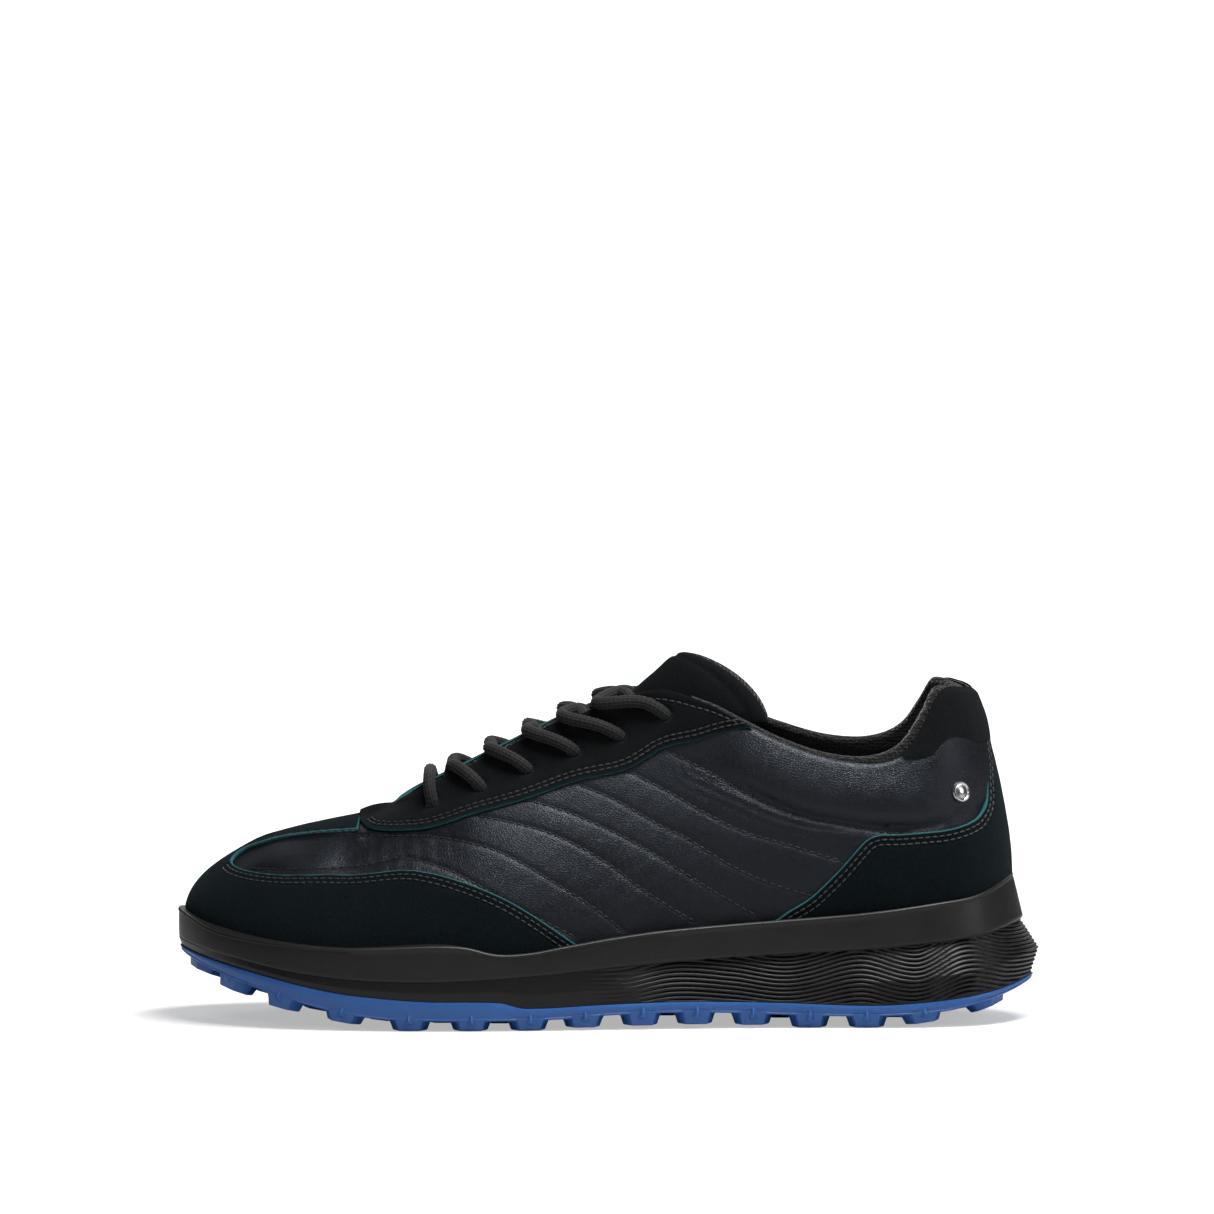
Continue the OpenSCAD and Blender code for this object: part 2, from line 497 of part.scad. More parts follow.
// Padded collar: its lining bulges inwards between the quarter's middle and the edge
collar_reach = 4.75;
COLLAR_LOW = [[0, 0.56], [1.5, 0.58], [2.5, 0.64], [3.5, 0.68], [4.75, 0.72]];
function collar_low(w) = lookup(abs(w + 12), COLLAR_LOW);
function collar_share(p) = (p[1] - collar_low(p[0])) / (0.995 - collar_low(p[0]));
function collar_bulge(p) = collar_pad * sin(180 * pow(max(collar_share(p), 0), 0.75));
lining_out = -leather_t - layer_gap;
module collar_lining() {
    grid = columns(steps(-12 - collar_reach, -12 + collar_reach, 37), 8,
                   function (w) collar_low(w), lower(0.995));
    face = function (p) lining_out - collar_bulge(p);
    color("black") skin_solid([[grid, ALL, ALL, ALL, ALL]],
        function (p) face(p) - 0.8, face);
}
module collar_foam() {
    trim = 0.05;
    grid = columns(steps(-12 - collar_reach + 0.2, -12 + collar_reach - 0.2, 33), 7,
                   function (w) collar_low(w) + trim, lower(0.995 - trim));
    color("gold") skin_solid([[grid, ALL, ALL, ALL, ALL]],
        function (p) lining_out - collar_bulge(p) + 0.35,
        level(lining_out));
}
// Waterproof lining: closed over the vamp, up to the collar pad on the sides
LINING_TOP = [[3.6, 1], [3.9, 0.78], [7, 0.76], [7.6, 0.69], [9, 0.64], [10, 0.58], [12, 0.5]];
module waterproof_lining() {
    vamp = columns(steps(-ridge_end, ridge_end, 25), 7, lower(foot_t), lower(1));
    side = columns(steps(-12, -ridge_end, 26), 7, lower(foot_t),
                   function (w) lookup(-w, LINING_TOP));
    under = -leather_t - 3.4 * layer_gap - 0.6;
    color("dimgray") skin_solid([
        [vamp, ALL, NONE, NONE, NONE],
        [side, ALL, ALL, NONE, NONE],
        [mirrored(side), ALL, ALL, NONE, NONE]],
        level(under - lining_t), level(under));
}
stiffener_out = -leather_t - 1.8 * layer_gap;
module toe_puff() {
    grid = columns(steps(-2.4, 2.4, 21), 6, lower(0.06), lower(0.72));
    color("beige") skin_solid([[grid, ALL, ALL, ALL, ALL]],
                              level(stiffener_out - 0.5), level(stiffener_out));
}
module heel_counter() {
    grid = columns(steps(-12 - 3.2, -12 + 3.2, 31), 6, lower(0.06),
                   function (w) lookup(abs(w + 12), [[0, 0.5], [2, 0.5], [3.2, 0.3]]));
    color("beige") skin_solid([[grid, ALL, ALL, ALL, ALL]],
                              level(stiffener_out - 0.5), level(stiffener_out));
}
// Plain round stud riveted to the quarter near the heel
module heel_stud() {
    at = [-10.92, 0.631];
    p = skin(at[0], at[1], 0.1);
    n = skin_normal(at[0], at[1]);
    color("silver") translate(p) rotate([0, acos(n[2]), atan2(n[1], n[0])])
        rotate_extrude() polygon([[0, 0], [stud_d / 2, 0], [stud_d / 2, 0.5],
                                  [stud_d / 2 - 0.5, 1], [0, 1.2]]);
}

// ---- Tongue ----------------------------------------------------------------
// Middle line and section, from the throat to the top:
// [share, [x, y, z, half width, drop, sweep]]
TONGUE = [[0, [-86, 2.5, 59, 11, 3, 0]], [0.2, [-62, 2.5, 73.5, 19, 12, 2]],
          [0.45, [-31, 2.5, 91.2, 18, 19, 4]], [0.7, [-2, 1.8, 105.6, 15.5, 24, 8]],
          [0.86, [14, 0.8, 119.5, 16, 25, 18]], [1, [26, 0.5, 130.4, 18, 25, 31]]];
tongue_arc = 80;             // half of the arc that its section bends through
// across runs from -1 on the outer side to 1, along from the throat (0) to the top (1)
function tongue_at(across, along) =
    let (r = height(TONGUE, along), bend = tongue_arc * across,
         fall = (1 - cos(bend)) / (1 - cos(tongue_arc)), out = sin(bend) / sin(tongue_arc))
    [r[0] + r[5] * pow(abs(out), 1.5), r[1] + r[3] * out, r[2] - r[4] * fall];
function tongue_point(across, along, depth) =
    let (e = 0.01,
         u = tongue_at(across + e, along) - tongue_at(across - e, along),
         v = tongue_at(across, min(along + e, 1)) - tongue_at(across, max(along - e, 0)))
    tongue_at(across, along) - unit(cross(v, u)) * depth;
module tongue_layer(top_depth, thick, margin, nc, nr) {
    function at(i, j, depth) = tongue_point((1 - margin) * (2 * i / (nc - 1) - 1),
        0.01 + margin / 2 + (0.98 - margin) * j / (nr - 1), depth);
    outer = [for (i = [0 : nc - 1], j = [0 : nr - 1]) at(i, j, top_depth)];
    inner = [for (i = [0 : nc - 1], j = [0 : nr - 1]) at(i, j, top_depth + thick)];
    polyhedron(points = concat(outer, inner),
               faces = sheet_faces(0, nc, nr, ALL, ALL, ALL, ALL), convexity = 10);
}
module tongue_face() {
    color([0.12, 0.13, 0.14]) tongue_layer(0, tongue_face_t, 0, 15, 15);
}
module tongue_foam() {
    color("gold") tongue_layer(tongue_face_t + 0.25, tongue_foam_t, 0.06, 13, 13);
}
module tongue_lining() {
    color("black") tongue_layer(tongue_face_t + tongue_foam_t + 0.5, 0.8, 0.02, 13, 13);
}

// ---- Lace ------------------------------------------------------------------
// The lace crosses over the tongue, comes over each lacing edge and goes down
// through the eyelet; both ends are tucked away inside.
over = overlay_out + lace_d / 2 + 0.25;
under = -leather_t - layer_gap - lace_d / 2 - 0.5;
function eyelet(k, side) = [side * EYELETS[k][0], EYELETS[k][1]];
// A strand comes over the edge this far towards the toe, more at each higher eyelet
function lean(k) = 0.14 + 0.12 * k;
// From under eyelet a on one side to the hole of eyelet b on the other side
function crossing(a, b, side) =
    let (p = eyelet(a, side), q = eyelet(b, -side), edge = q[0] + side * lean(b),
         rise = skin(edge, 1, over), leave = skin(p[0] + side * 0.12, 1, under))
    [skin(p[0], p[1], under), leave, (leave + rise) / 2 + [0, 0, 2], rise,
     skin(q[0] + side * lean(b) * 0.35, q[1] + 0.045, over + 0.2), skin(q[0], q[1], 0.4)];
function climb(k, side) = k > 4 ? [] : concat(crossing(k, k + 1, side), climb(k + 1, -side));
function tail(side) = [
    skin(side * 6.95, 0.895, under), skin(side * 6.85, 0.82, under - 0.8),
    skin(side * 6.7, 0.74, under - 1.3), skin(side * 6.5, 0.66, under - 1.5),
    skin(side * 6.3, 0.58, under - 1.5)];
function bar() =
    let (l = EYELETS[0], e = l[0] + 0.02)
    [skin(-l[0], l[1], 0.4), skin(-e, l[1] + 0.06, over), skin(-e, 1, over),
     (skin(-e, 1, over) + skin(e, 1, over)) / 2 + [0, 0, 1],
     skin(e, 1, over), skin(e, l[1] + 0.06, over), skin(l[0], l[1], 0.4)];
LACE_PATH = concat(backwards(tail(-1)), backwards(climb(0, 1)), backwards(bar()),
                   climb(0, -1), tail(1));
module tube(path, radius, sides) {
    n = len(path);
    dirs = [for (i = [0 : n - 1]) unit(path[min(i + 1, n - 1)] - path[max(i - 1, 0)])];
    start = unit(cross(dirs[0], [0, 0, 1]));
    // Each ring's first radius is the one before it, squared up to the new direction
    radii = [for (i = 0, u = start; i < n;
                  i = i + 1, u = i < n ? unit(u - dirs[i] * (u * dirs[i])) : u) u];
    rings = [for (i = [0 : n - 1]) let (u = radii[i], v = cross(dirs[i], u))
        for (s = [0 : sides - 1]) path[i] + u * (radius * cos(360 * s / sides))
            + v * (radius * sin(360 * s / sides))];
    polyhedron(
        points = rings,
        faces = concat(
            [for (i = [0 : n - 2], s = [0 : sides - 1]) let (m = (s + 1) % sides)
                each quad(i * sides + s, (i + 1) * sides + s, (i + 1) * sides + m, i * sides + m)],
            [[for (s = [0 : sides - 1]) s]],
            [[for (s = [sides - 1 : -1 : 0]) (n - 1) * sides + s]]),
        convexity = 10);
}
module lace() {
    color([0.1, 0.1, 0.1]) tube(LACE_PATH, lace_d / 2, 10);
}
module lace_tip(p, d) {
    translate(p + d * 0.2) rotate([0, acos(d[2]), atan2(d[1], d[0])])
        cylinder(h = 16, r = lace_d * 0.36);
}
module lace_tips() {
    n = len(LACE_PATH);
    color("black") {
        lace_tip(LACE_PATH[0], unit(LACE_PATH[0] - LACE_PATH[1]));
        lace_tip(LACE_PATH[n - 1], unit(LACE_PATH[n - 1] - LACE_PATH[n - 2]));
    }
}

module sized() {
    scale(shoe_length / drawn_length) children();
}
sized() outsole();
sized() midsole();
sized() shank();
sized() lasting_board();
sized() footbed();
sized() footbed_cover();
sized() quarter_outer();
sized() quarter_inner();
sized() toe_guard();
sized() eyestay();
sized() eyestay_backing();
sized() heel_overlay();
sized() heel_tab();
sized() collar_foam();
sized() collar_lining();
sized() waterproof_lining();
sized() toe_puff();
sized() heel_counter();
sized() tongue_face();
sized() tongue_foam();
sized() tongue_lining();
sized() lace();
sized() lace_tips();
sized() heel_stud();
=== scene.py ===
"""Looks of the left golf shoe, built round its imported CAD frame.

Toe at -X, heel at +X, outer side at -Y, up is +Z. Tables and offsets are in millimetres, and
every mesh is turned into metres when it is made.
"""

import math

import bmesh
import bpy
import numpy as np
from mathutils import Matrix, Vector


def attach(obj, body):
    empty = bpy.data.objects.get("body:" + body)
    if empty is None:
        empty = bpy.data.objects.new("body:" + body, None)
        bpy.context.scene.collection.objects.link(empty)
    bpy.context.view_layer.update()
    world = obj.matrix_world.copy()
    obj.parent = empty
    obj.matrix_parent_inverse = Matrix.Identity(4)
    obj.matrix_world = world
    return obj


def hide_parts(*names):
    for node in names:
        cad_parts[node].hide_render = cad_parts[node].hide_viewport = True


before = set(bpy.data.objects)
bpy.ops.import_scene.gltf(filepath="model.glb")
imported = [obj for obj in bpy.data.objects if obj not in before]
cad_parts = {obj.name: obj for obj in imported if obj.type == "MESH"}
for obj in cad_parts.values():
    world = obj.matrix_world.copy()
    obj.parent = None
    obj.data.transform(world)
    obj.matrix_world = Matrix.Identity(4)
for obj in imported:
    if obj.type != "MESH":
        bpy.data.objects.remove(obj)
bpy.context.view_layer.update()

MM = 0.001


# ---- Node and object helpers --------------------------------------------------------------


def add(tree, kind, values=None, **settings):
    """A node with its settings. values go to its sockets: a number sets, a socket links."""
    node = tree.nodes.new(kind)
    for key, value in settings.items():
        setattr(node, key, value)
    for key, value in (values or {}).items():
        socket = node.inputs[key]
        if isinstance(value, bpy.types.NodeSocket):
            tree.links.new(value, socket)
        else:
            socket.default_value = value
    return node


def linked(name, data):
    """An object that shows some data, in the scene."""
    obj = bpy.data.objects.new(name, data)
    bpy.context.scene.collection.objects.link(obj)
    return obj


def mixed(tree, factor, a, b):
    mix = add(tree, "ShaderNodeMix", {0: factor, 6: a, 7: b}, data_type="RGBA")
    return mix.outputs[2]


def calc(tree, operation, a, b):
    return add(tree, "ShaderNodeMath", {0: a, 1: b}, operation=operation).outputs[0]


def between(tree, value, lo, hi, to_lo=0.0, to_hi=1.0):
    node = add(tree, "ShaderNodeMapRange", {"Value": value, "From Min": lo, "From Max": hi,
                                            "To Min": to_lo, "To Max": to_hi})
    return node.outputs["Result"]


# ---- Camera, floor and light --------------------------------------------------------------

LOOK_DOWN = math.radians(5)
CAMERA_AWAY = 8.0
VIEW_WIDE = 0.422
AXIS_HEIGHT = 0.065
VIEW_MIDDLE = 0.1474
AIM_X, AIM_Y = -0.0005, -0.050
SENSOR_WIDE = 36
FLOOR_TONE = 0.55
FLOOR_DROP = 0.0001
SHADOW_GLOW, FAR_GLOW = 0.44, 1.0
GLOW_FROM, GLOW_TO = 0.15, 0.9
ROOM_LIGHT, BACKDROP = 0.07, 1.0


def place_camera():
    data = bpy.data.cameras.new("studio_camera")
    data.sensor_width = SENSOR_WIDE
    data.lens = SENSOR_WIDE * CAMERA_AWAY / VIEW_WIDE
    data.shift_y = (VIEW_MIDDLE - AXIS_HEIGHT) / VIEW_WIDE
    camera = linked("studio_camera", data)
    back = Vector((0, -math.cos(LOOK_DOWN), math.sin(LOOK_DOWN)))
    aim = Vector((AIM_X, AIM_Y, AXIS_HEIGHT / math.cos(LOOK_DOWN)))
    camera.location = aim + back * CAMERA_AWAY
    camera.rotation_euler = (math.pi / 2 - LOOK_DOWN, 0, 0)
    data.clip_start, data.clip_end = 0.05, 30
    bpy.context.scene.camera = camera


def soft_box(name, place, aim, wide, tall, power):
    data = bpy.data.lights.new(name, "AREA")
    data.shape = "RECTANGLE"
    data.size, data.size_y = wide, tall
    data.energy = power
    lamp = linked(name, data)
    lamp.location = place
    lamp.rotation_euler = (Vector(aim) - Vector(place)).to_track_quat("-Z", "Y").to_euler()


def white_room():
    """Dim light from all round, in front of a backdrop that the camera sees as white."""
    world = bpy.data.worlds.new("studio")
    bpy.context.scene.world = world
    world.use_nodes = True
    tree = world.node_tree
    sky = tree.nodes["Background"]
    sky.inputs["Color"].default_value = (1, 1, 1, 1)
    seen = add(tree, "ShaderNodeLightPath").outputs["Is Camera Ray"]
    tree.links.new(between(tree, seen, 0.0, 1.0, ROOM_LIGHT, BACKDROP), sky.inputs["Strength"])


def pale_floor():
    """A wide pale floor, bright enough to run into the white behind it."""
    mesh = bpy.data.meshes.new("studio_floor")
    corners = [(-9, -9), (9, -9), (9, 12), (-9, 12)]
    mesh.from_pydata([(x, y, -FLOOR_DROP) for x, y in corners], [], [(0, 1, 2, 3)])
    floor = linked("studio_floor", mesh)
    paint = bpy.data.materials.new("pale_floor")
    paint.use_nodes = True
    tree = paint.node_tree
    shader = tree.nodes["Principled BSDF"]
    for key, value in (("Base Color", (FLOOR_TONE, FLOOR_TONE, FLOOR_TONE, 1)),
                       ("Roughness", 0.9), ("Specular IOR Level", 0.1),
                       ("Emission Color", (1, 1, 1, 1))):
        shader.inputs[key].default_value = value
    seen = add(tree, "ShaderNodeLightPath").outputs["Is Camera Ray"]
    spot = add(tree, "ShaderNodeTexCoord").outputs["Object"]
    away = add(tree, "ShaderNodeVectorMath", {0: spot}, operation="LENGTH").outputs["Value"]
    far = between(tree, away, GLOW_FROM, GLOW_TO, SHADOW_GLOW, FAR_GLOW)
    tree.links.new(calc(tree, "MULTIPLY", seen, far), shader.inputs["Emission Strength"])
    mesh.materials.append(paint)


place_camera()
soft_box("overhead_box", (0.3, -0.26, 1.2), (0.02, 0, 0.05), 0.8, 0.4, 23)
soft_box("front_box", (-0.4, -1.4, 0.9), (0, 0, 0.07), 0.5, 0.4, 3.2)
soft_box("heel_box", (1.3, -0.5, 0.6), (0.05, 0, 0.08), 0.5, 0.7, 4)
soft_box("back_box", (0.1, 1.5, 0.9), (0, 0, 0.07), 1.2, 0.7, 6)
white_room()
bpy.context.scene.view_settings.view_transform = "Standard"
pale_floor()


# ---- The upper's surface ------------------------------------------------------------------
# The trip w runs from the heel (-12) along the outer side to the toe (0) and back along the
# inner side to the heel (12). t rises from the feather line (0) to the upper's edge (1).

TURN = 24.0
CENTRE_Y = 1.4
RIDGE_END = 3.6
EASE_AT, EASE_FULL, EASE_GONE = 3.9, 0.4, 1.7
EASE_REACH, EASE_STEPS = 1.25, 13

FEATHER = [
    (-12, (136, 0)), (-11, (126, -24)), (-10, (103, -33)), (-9, (76, -34)),
    (-8, (48, -35)), (-7, (20, -38.5)), (-6, (-8, -43)), (-5, (-36, -47)),
    (-4, (-64, -48)), (-3, (-92, -44.5)), (-2, (-117, -35.5)), (-1, (-136, -18)),
    (0, (-143.5, 5)), (1, (-136, 26)), (2, (-117, 39)), (3, (-92, 45)),
    (4, (-64, 45)), (5, (-36, 39)), (6, (-8, 31.5)), (7, (20, 27.5)),
    (8, (48, 27.5)), (9, (76, 30)), (10, (103, 31)), (11, (126, 23))]
RIDGE = [
    (0, (-122, 4.8, 61.2)), (1, (-117, 4.6, 63)), (2, (-106, 4.2, 66)),
    (3, (-90, 3.5, 69.3)), (3.6, (-75, 3, 73))]
FREE_EDGE = [
    (3.6, (-75, 3, 73)), (3.75, (-72, 9, 75.8)), (4, (-65.5, 13, 79.8)),
    (4.4, (-54.5, 14.3, 85.2)), (5, (-38, 15, 93.5)), (6, (-10, 16, 107)),
    (6.9, (17, 18, 116)), (7.4, (33, 21, 113)), (7.9, (46.5, 23.5, 107)),
    (8.4, (60, 25, 101.5)), (9, (76, 26.5, 96.5)), (9.6, (92, 26.5, 95)),
    (10.1, (102.5, 25.5, 98)), (10.5, (109.5, 23, 106.5)), (10.9, (116, 18, 117)),
    (11.4, (123, 11, 117.5)), (12, (127.3, 0, 116)), (12.6, (123, -11.5, 117)),
    (13.1, (116, -19, 116)), (13.5, (109.5, -24.5, 104)), (13.9, (102.5, -28, 95)),
    (14.4, (92, -30, 92)), (15, (76, -31, 94)), (15.6, (60, -29.5, 99.5)),
    (16.1, (46.5, -26.5, 106)), (16.6, (33, -22, 112.5)), (17.1, (17, -17, 116)),
    (18, (-10, -14.5, 107)), (19, (-38, -12.5, 93.5)), (19.6, (-54.5, -10.8, 85.2)),
    (20, (-65.5, -8, 79.8)), (20.25, (-72, -3, 75.8)), (20.4, (-75, 3, 73))]
FULLNESS = [
    (-12, (9.5, 18, 8, -32)), (-11, (8, 20, 6.5, -32)), (-10, (6, 22, 3.5, -27)),
    (-9, (5, 24, 3.5, -26)), (-8, (4, 26, 5, -28)), (-7, (3.5, 27, 9, -31)),
    (-6, (3.5, 26, 14, -22)), (-5, (4, 24, 20, -16)), (-4, (4.5, 21, 24, -11)),
    (-3, (5, 18, 26, -2)), (-2, (6, 16, 24, -4)), (-1, (9, 16, 17, -7)),
    (0, (11, 16, 14, -7)), (1, (9, 16, 17, -7)), (2, (6, 16, 24, -4)),
    (3, (5, 18, 26, -2)), (4, (4.5, 21, 22, -11)), (5, (3, 24, 17, -16)),
    (6, (2, 26, 12, -22)), (7, (2, 27, 8, -31)), (8, (2, 26, 5, -28)),
    (9, (3, 24, 3.5, -26)), (10, (5, 22, 3.5, -27)), (11, (8, 20, 6.5, -32))]
FEATHER_Z = [(-150, 29), (-135, 24), (-115, 19), (-90, 16), (-60, 14.5), (-30, 15.5),
             (0, 19), (30, 23), (60, 26), (90, 28.5), (140, 31)]
RIM_Z = [(-150, 38.6), (-147, 37.4), (-140, 34), (-130, 31.8), (-112, 30), (-90, 29),
         (-60, 30), (-50, 29.5), (-39, 27), (-28, 27.3), (-15, 29.5), (2, 32.3),
         (20, 34.6), (60, 37.8), (87, 40), (115, 43.5), (129, 45.8), (142, 51.5)]
BAND_Z = [(-150, 28.5), (-133, 25), (-112, 20.8), (-98, 19), (-85, 18), (-59, 17.7),
          (-24, 19.8), (0, 22.2), (28, 24.5), (60, 26.4), (101, 29), (129, 32), (146, 36)]
SPLIT_Z = [(-151, 26), (-135, 22), (-120, 18.5), (-105, 15), (-90, 12.5), (-65, 10.5),
           (-38, 10), (-29, 8), (0, 9), (25, 9.6), (60, 9), (88, 8), (105, 8.5),
           (125, 10.5), (140, 13.5), (151, 17)]
TREAD_Z = [(-151, 24), (-137, 18.5), (-120, 12.9), (-105, 8.6), (-90, 5.4), (-75, 3.8),
           (-45, 3.4), (-18, 3.8), (0, 5), (20, 5.6), (40, 5.4), (60, 4.6), (85, 4),
           (105, 4.4), (118, 5.6), (130, 8.2), (140, 11), (151, 15)]
LUG_Z = [(-143, 18), (-132, 12.5), (-114, 7), (-92, 2.6), (-72, 0), (-60, 0), (-22, 0),
         (-9, 0.8), (30, 1.4), (50, 1), (66, 0), (95, 0), (109, 1.4), (130, 5), (144, 12)]


def curve(rows, closed=False):
    """A smooth line through [place, value] rows, as a function of the place."""
    k = np.array([r[0] for r in rows], float)
    v = np.array([np.atleast_1d(r[1]) for r in rows], float)
    if closed:
        k, v = np.append(k, k[0] + TURN), np.vstack([v, v[:1]])
        h = np.diff(k)[:, None]
        d = np.diff(v, axis=0) / h
        before, dd = np.roll(h, 1, axis=0), np.roll(d, 1, axis=0)
        m = (dd * h + d * before) / (h + before)
        m = np.vstack([m, m[:1]])
    else:
        n = len(k)
        lo, hi = np.maximum(np.arange(n) - 1, 0), np.minimum(np.arange(n) + 1, n - 1)
        m = (v[hi] - v[lo]) / (k[hi] - k[lo])[:, None]

    def at(x):
        x = np.asarray(x, float)
        x = (x - k[0]) % TURN + k[0] if closed else np.clip(x, k[0], k[-1])
        i = np.clip(np.searchsorted(k, x, side="right") - 1, 0, len(k) - 2)
        h = (k[i + 1] - k[i])[..., None]
        u = (x - k[i])[..., None] / h
        out = (v[i] * (2 * u**3 - 3 * u**2 + 1) + m[i] * h * (u**3 - 2 * u**2 + u)
               + v[i + 1] * (3 * u**2 - 2 * u**3) + m[i + 1] * h * (u**3 - u**2))
        return out if out.shape[-1] > 1 else out[..., 0]

    return at


def tabled(line, lo, hi, n=48000):
    """The same line from a fine table, which is quicker to read than the cubic is to work."""
    table = line(np.linspace(lo, hi, n + 1))
    closed = hi - lo >= TURN

    def at(x):
        x = np.asarray(x, float)
        x = (x - lo) % TURN if closed else np.clip(x, lo, hi) - lo
        x = x * (n / (hi - lo))
        i = np.minimum(x.astype(np.int64), n - 1)
        a = table[i]
        return a + (table[i + 1] - a) * (x - i)[..., None]

    return at


feather_xy = tabled(curve(FEATHER, closed=True), -12.0, 12.0)
fullness = tabled(curve(FULLNESS, closed=True), -12.0, 12.0)
ridge_line = tabled(curve(RIDGE), 0.0, RIDGE_END)
free_edge = tabled(curve(FREE_EDGE), RIDGE_END, TURN - RIDGE_END)
feather_z, rim_z, band_z = curve(FEATHER_Z), curve(RIM_Z), curve(BAND_Z)
split_z, tread_z, lug_foot_z = curve(SPLIT_Z), curve(TREAD_Z), curve(LUG_Z)


def wrap(w):
    return (np.asarray(w, float) + 12) % TURN - 12


def unit(v):
    return v / np.maximum(np.linalg.norm(v, axis=-1, keepdims=True), 1e-12)


def feather(w):
    """Where the upper meets the sole, seen from above."""
    return feather_xy(w) + (0, CENTRE_Y)


def outward(w):
    """The level direction straight out from the feather line."""
    d = feather(w + 0.02) - feather(w - 0.02)
    return unit(np.stack([-d[..., 1], d[..., 0]], -1))


def top_edge(w):
    """The upper's highest line: the ridge over the toe, then the throat and the collar."""
    v = wrap(w)
    on_ridge = (np.abs(v) <= RIDGE_END)[..., None]
    return np.where(on_ridge, ridge_line(np.abs(v)),
                    free_edge(np.where(v < 0, v + TURN, v))) + (0, CENTRE_Y, 0)


def plain_face(w, t):
    """A smooth rise from the feather line to the top edge, as full as its side calls for."""
    f, n, full, head = feather(w), outward(w), fullness(w), top_edge(w)
    foot = np.concatenate([f, feather_z(f[..., 0])[..., None]], -1)
    out = np.concatenate([n, np.zeros_like(n[..., :1])], -1)
    up = np.array([0.0, 0.0, 1.0])
    low = foot + out * full[..., 0:1] + up * full[..., 1:2]
    high = head + out * full[..., 2:3] + up * full[..., 3:4]
    t = np.asarray(t, float)[..., None]
    s = 1 - t
    return foot * s**3 + low * (3 * s * s * t) + high * (3 * s * t * t) + head * t**3


def face_at(w, t):
    """The smooth leather's outer face, eased in front of the throat opening."""
    w, t = np.broadcast_arrays(np.asarray(w, float), np.asarray(t, float))
    face = plain_face(w, t)
    near = 1 - smooth_step(np.abs(np.abs(wrap(w)) - EASE_AT), EASE_FULL, EASE_GONE)
    reach = EASE_REACH * near * (1 - np.clip(t, 0, 1) ** 6)
    here = reach > 0.01
    if here.any():
        steps = np.linspace(-1, 1, EASE_STEPS)
        shares = np.cos(steps * math.pi / 2.2)
        face[here] = sum(k * plain_face(w[here] + d * reach[here], t[here])
                         for d, k in zip(steps, shares)) / shares.sum()
    return face


def side_normal(w, t, e=0.001):
    along = face_at(w + e, t) - face_at(w - e, t)
    rise = face_at(w, np.minimum(t + e, 1)) - face_at(w, np.maximum(t - e, 0))
    return unit(np.cross(rise, along))


def skin_normal(w, t):
    w, t = np.broadcast_arrays(np.asarray(w, float), np.asarray(t, float))
    n = side_normal(w, t)
    on_ridge = (t > 0.999) & (np.abs(wrap(w)) <= RIDGE_END)
    if on_ridge.any():
        near = np.maximum(np.abs(wrap(w[on_ridge])), 0.05)
        top = np.ones_like(near)
        n[on_ridge] = unit(side_normal(-near, top) + side_normal(near, top))
    return n


def skin(w, t, off=0.0):
    """A point off millimetres outside the smooth leather's face."""
    w, t = np.broadcast_arrays(np.asarray(w, float), np.asarray(t, float))
    return face_at(w, t) + skin_normal(w, t) * np.asarray(off, float)[..., None]


def smooth_step(x, lo, hi):
    u = np.clip((np.asarray(x, float) - lo) / (hi - lo), 0, 1)
    return u * u * (3 - 2 * u)


def dense(points, n=14):
    """A smooth line through points, with n steps between neighbours."""
    p = np.array(points, float)
    q = np.vstack([2 * p[0] - p[1], p, 2 * p[-1] - p[-2]])
    u = np.linspace(0, 1, n, endpoint=False)[:, None]
    parts = []
    for i in range(len(p) - 1):
        a, b, c, d = q[i : i + 4]
        parts.append(0.5 * (2 * b + (c - a) * u + (2 * a - 5 * b + 4 * c - d) * u**2
                            + (3 * b - a - 3 * c + d) * u**3))
    return np.vstack(parts + [p[-1:]])


def distance_to(points, lines):
    """Distance in space from each point to the nearest of some lines, each a row of points."""
    best = np.full(len(points), 1e9)
    for line in lines:
        a, b = line[:-1], line[1:]
        lo, hi = line.min(0) - 14, line.max(0) + 14
        near = np.nonzero(((points > lo) & (points < hi)).all(1))[0]
        for part in np.array_split(near, max(1, len(near) // 2500)):
            if not len(part):
                continue
            p = points[part]
            i = np.argmin(((p[:, None] - ((a + b) / 2)[None]) ** 2).sum(-1), 1)
            found = np.full(len(part), 1e9)
            for j in (np.maximum(i - 1, 0), i, np.minimum(i + 1, len(a) - 1)):
                ab = b[j] - a[j]
                u = np.clip(((p - a[j]) * ab).sum(1) / np.maximum((ab * ab).sum(1), 1e-9), 0, 1)
                found = np.minimum(found, np.linalg.norm(p - a[j] - ab * u[:, None], axis=1))
            best[part] = np.minimum(best[part], found)
    return best


def within(w, t, polygon):
    """Whether each point of the flat pattern is inside a closed outline."""
    inside = np.zeros(w.shape, bool)
    x0, y0 = polygon[-1]
    for x1, y1 in polygon:
        if y0 != y1:
            cross = ((y1 > t) != (y0 > t)) & (w < (x0 - x1) * (t - y1) / (y0 - y1) + x1)
            inside ^= cross
        x0, y0 = x1, y1
    return inside


# ---- Meshes -------------------------------------------------------------------------------

CUT_CLEAR = 0.06
SAME_POINT = 0.004


def make_mesh(name, points, faces, materials, slots=None, attributes=None, sharp=38):
    """An object from points in millimetres, with float attributes if given."""
    mesh = bpy.data.meshes.new(name)
    mesh.from_pydata([tuple(p) for p in np.asarray(points) * MM], [], faces)
    for key, values in (attributes or {}).items():
        mesh.attributes.new(key, "FLOAT", "POINT").data.foreach_set(
            "value", np.asarray(values, np.float32))
    for m in materials:
        mesh.materials.append(m)
    if slots is not None:
        mesh.polygons.foreach_set("material_index", np.asarray(slots, np.int32))
    mesh.validate()
    return shaded(name, mesh, sharp)


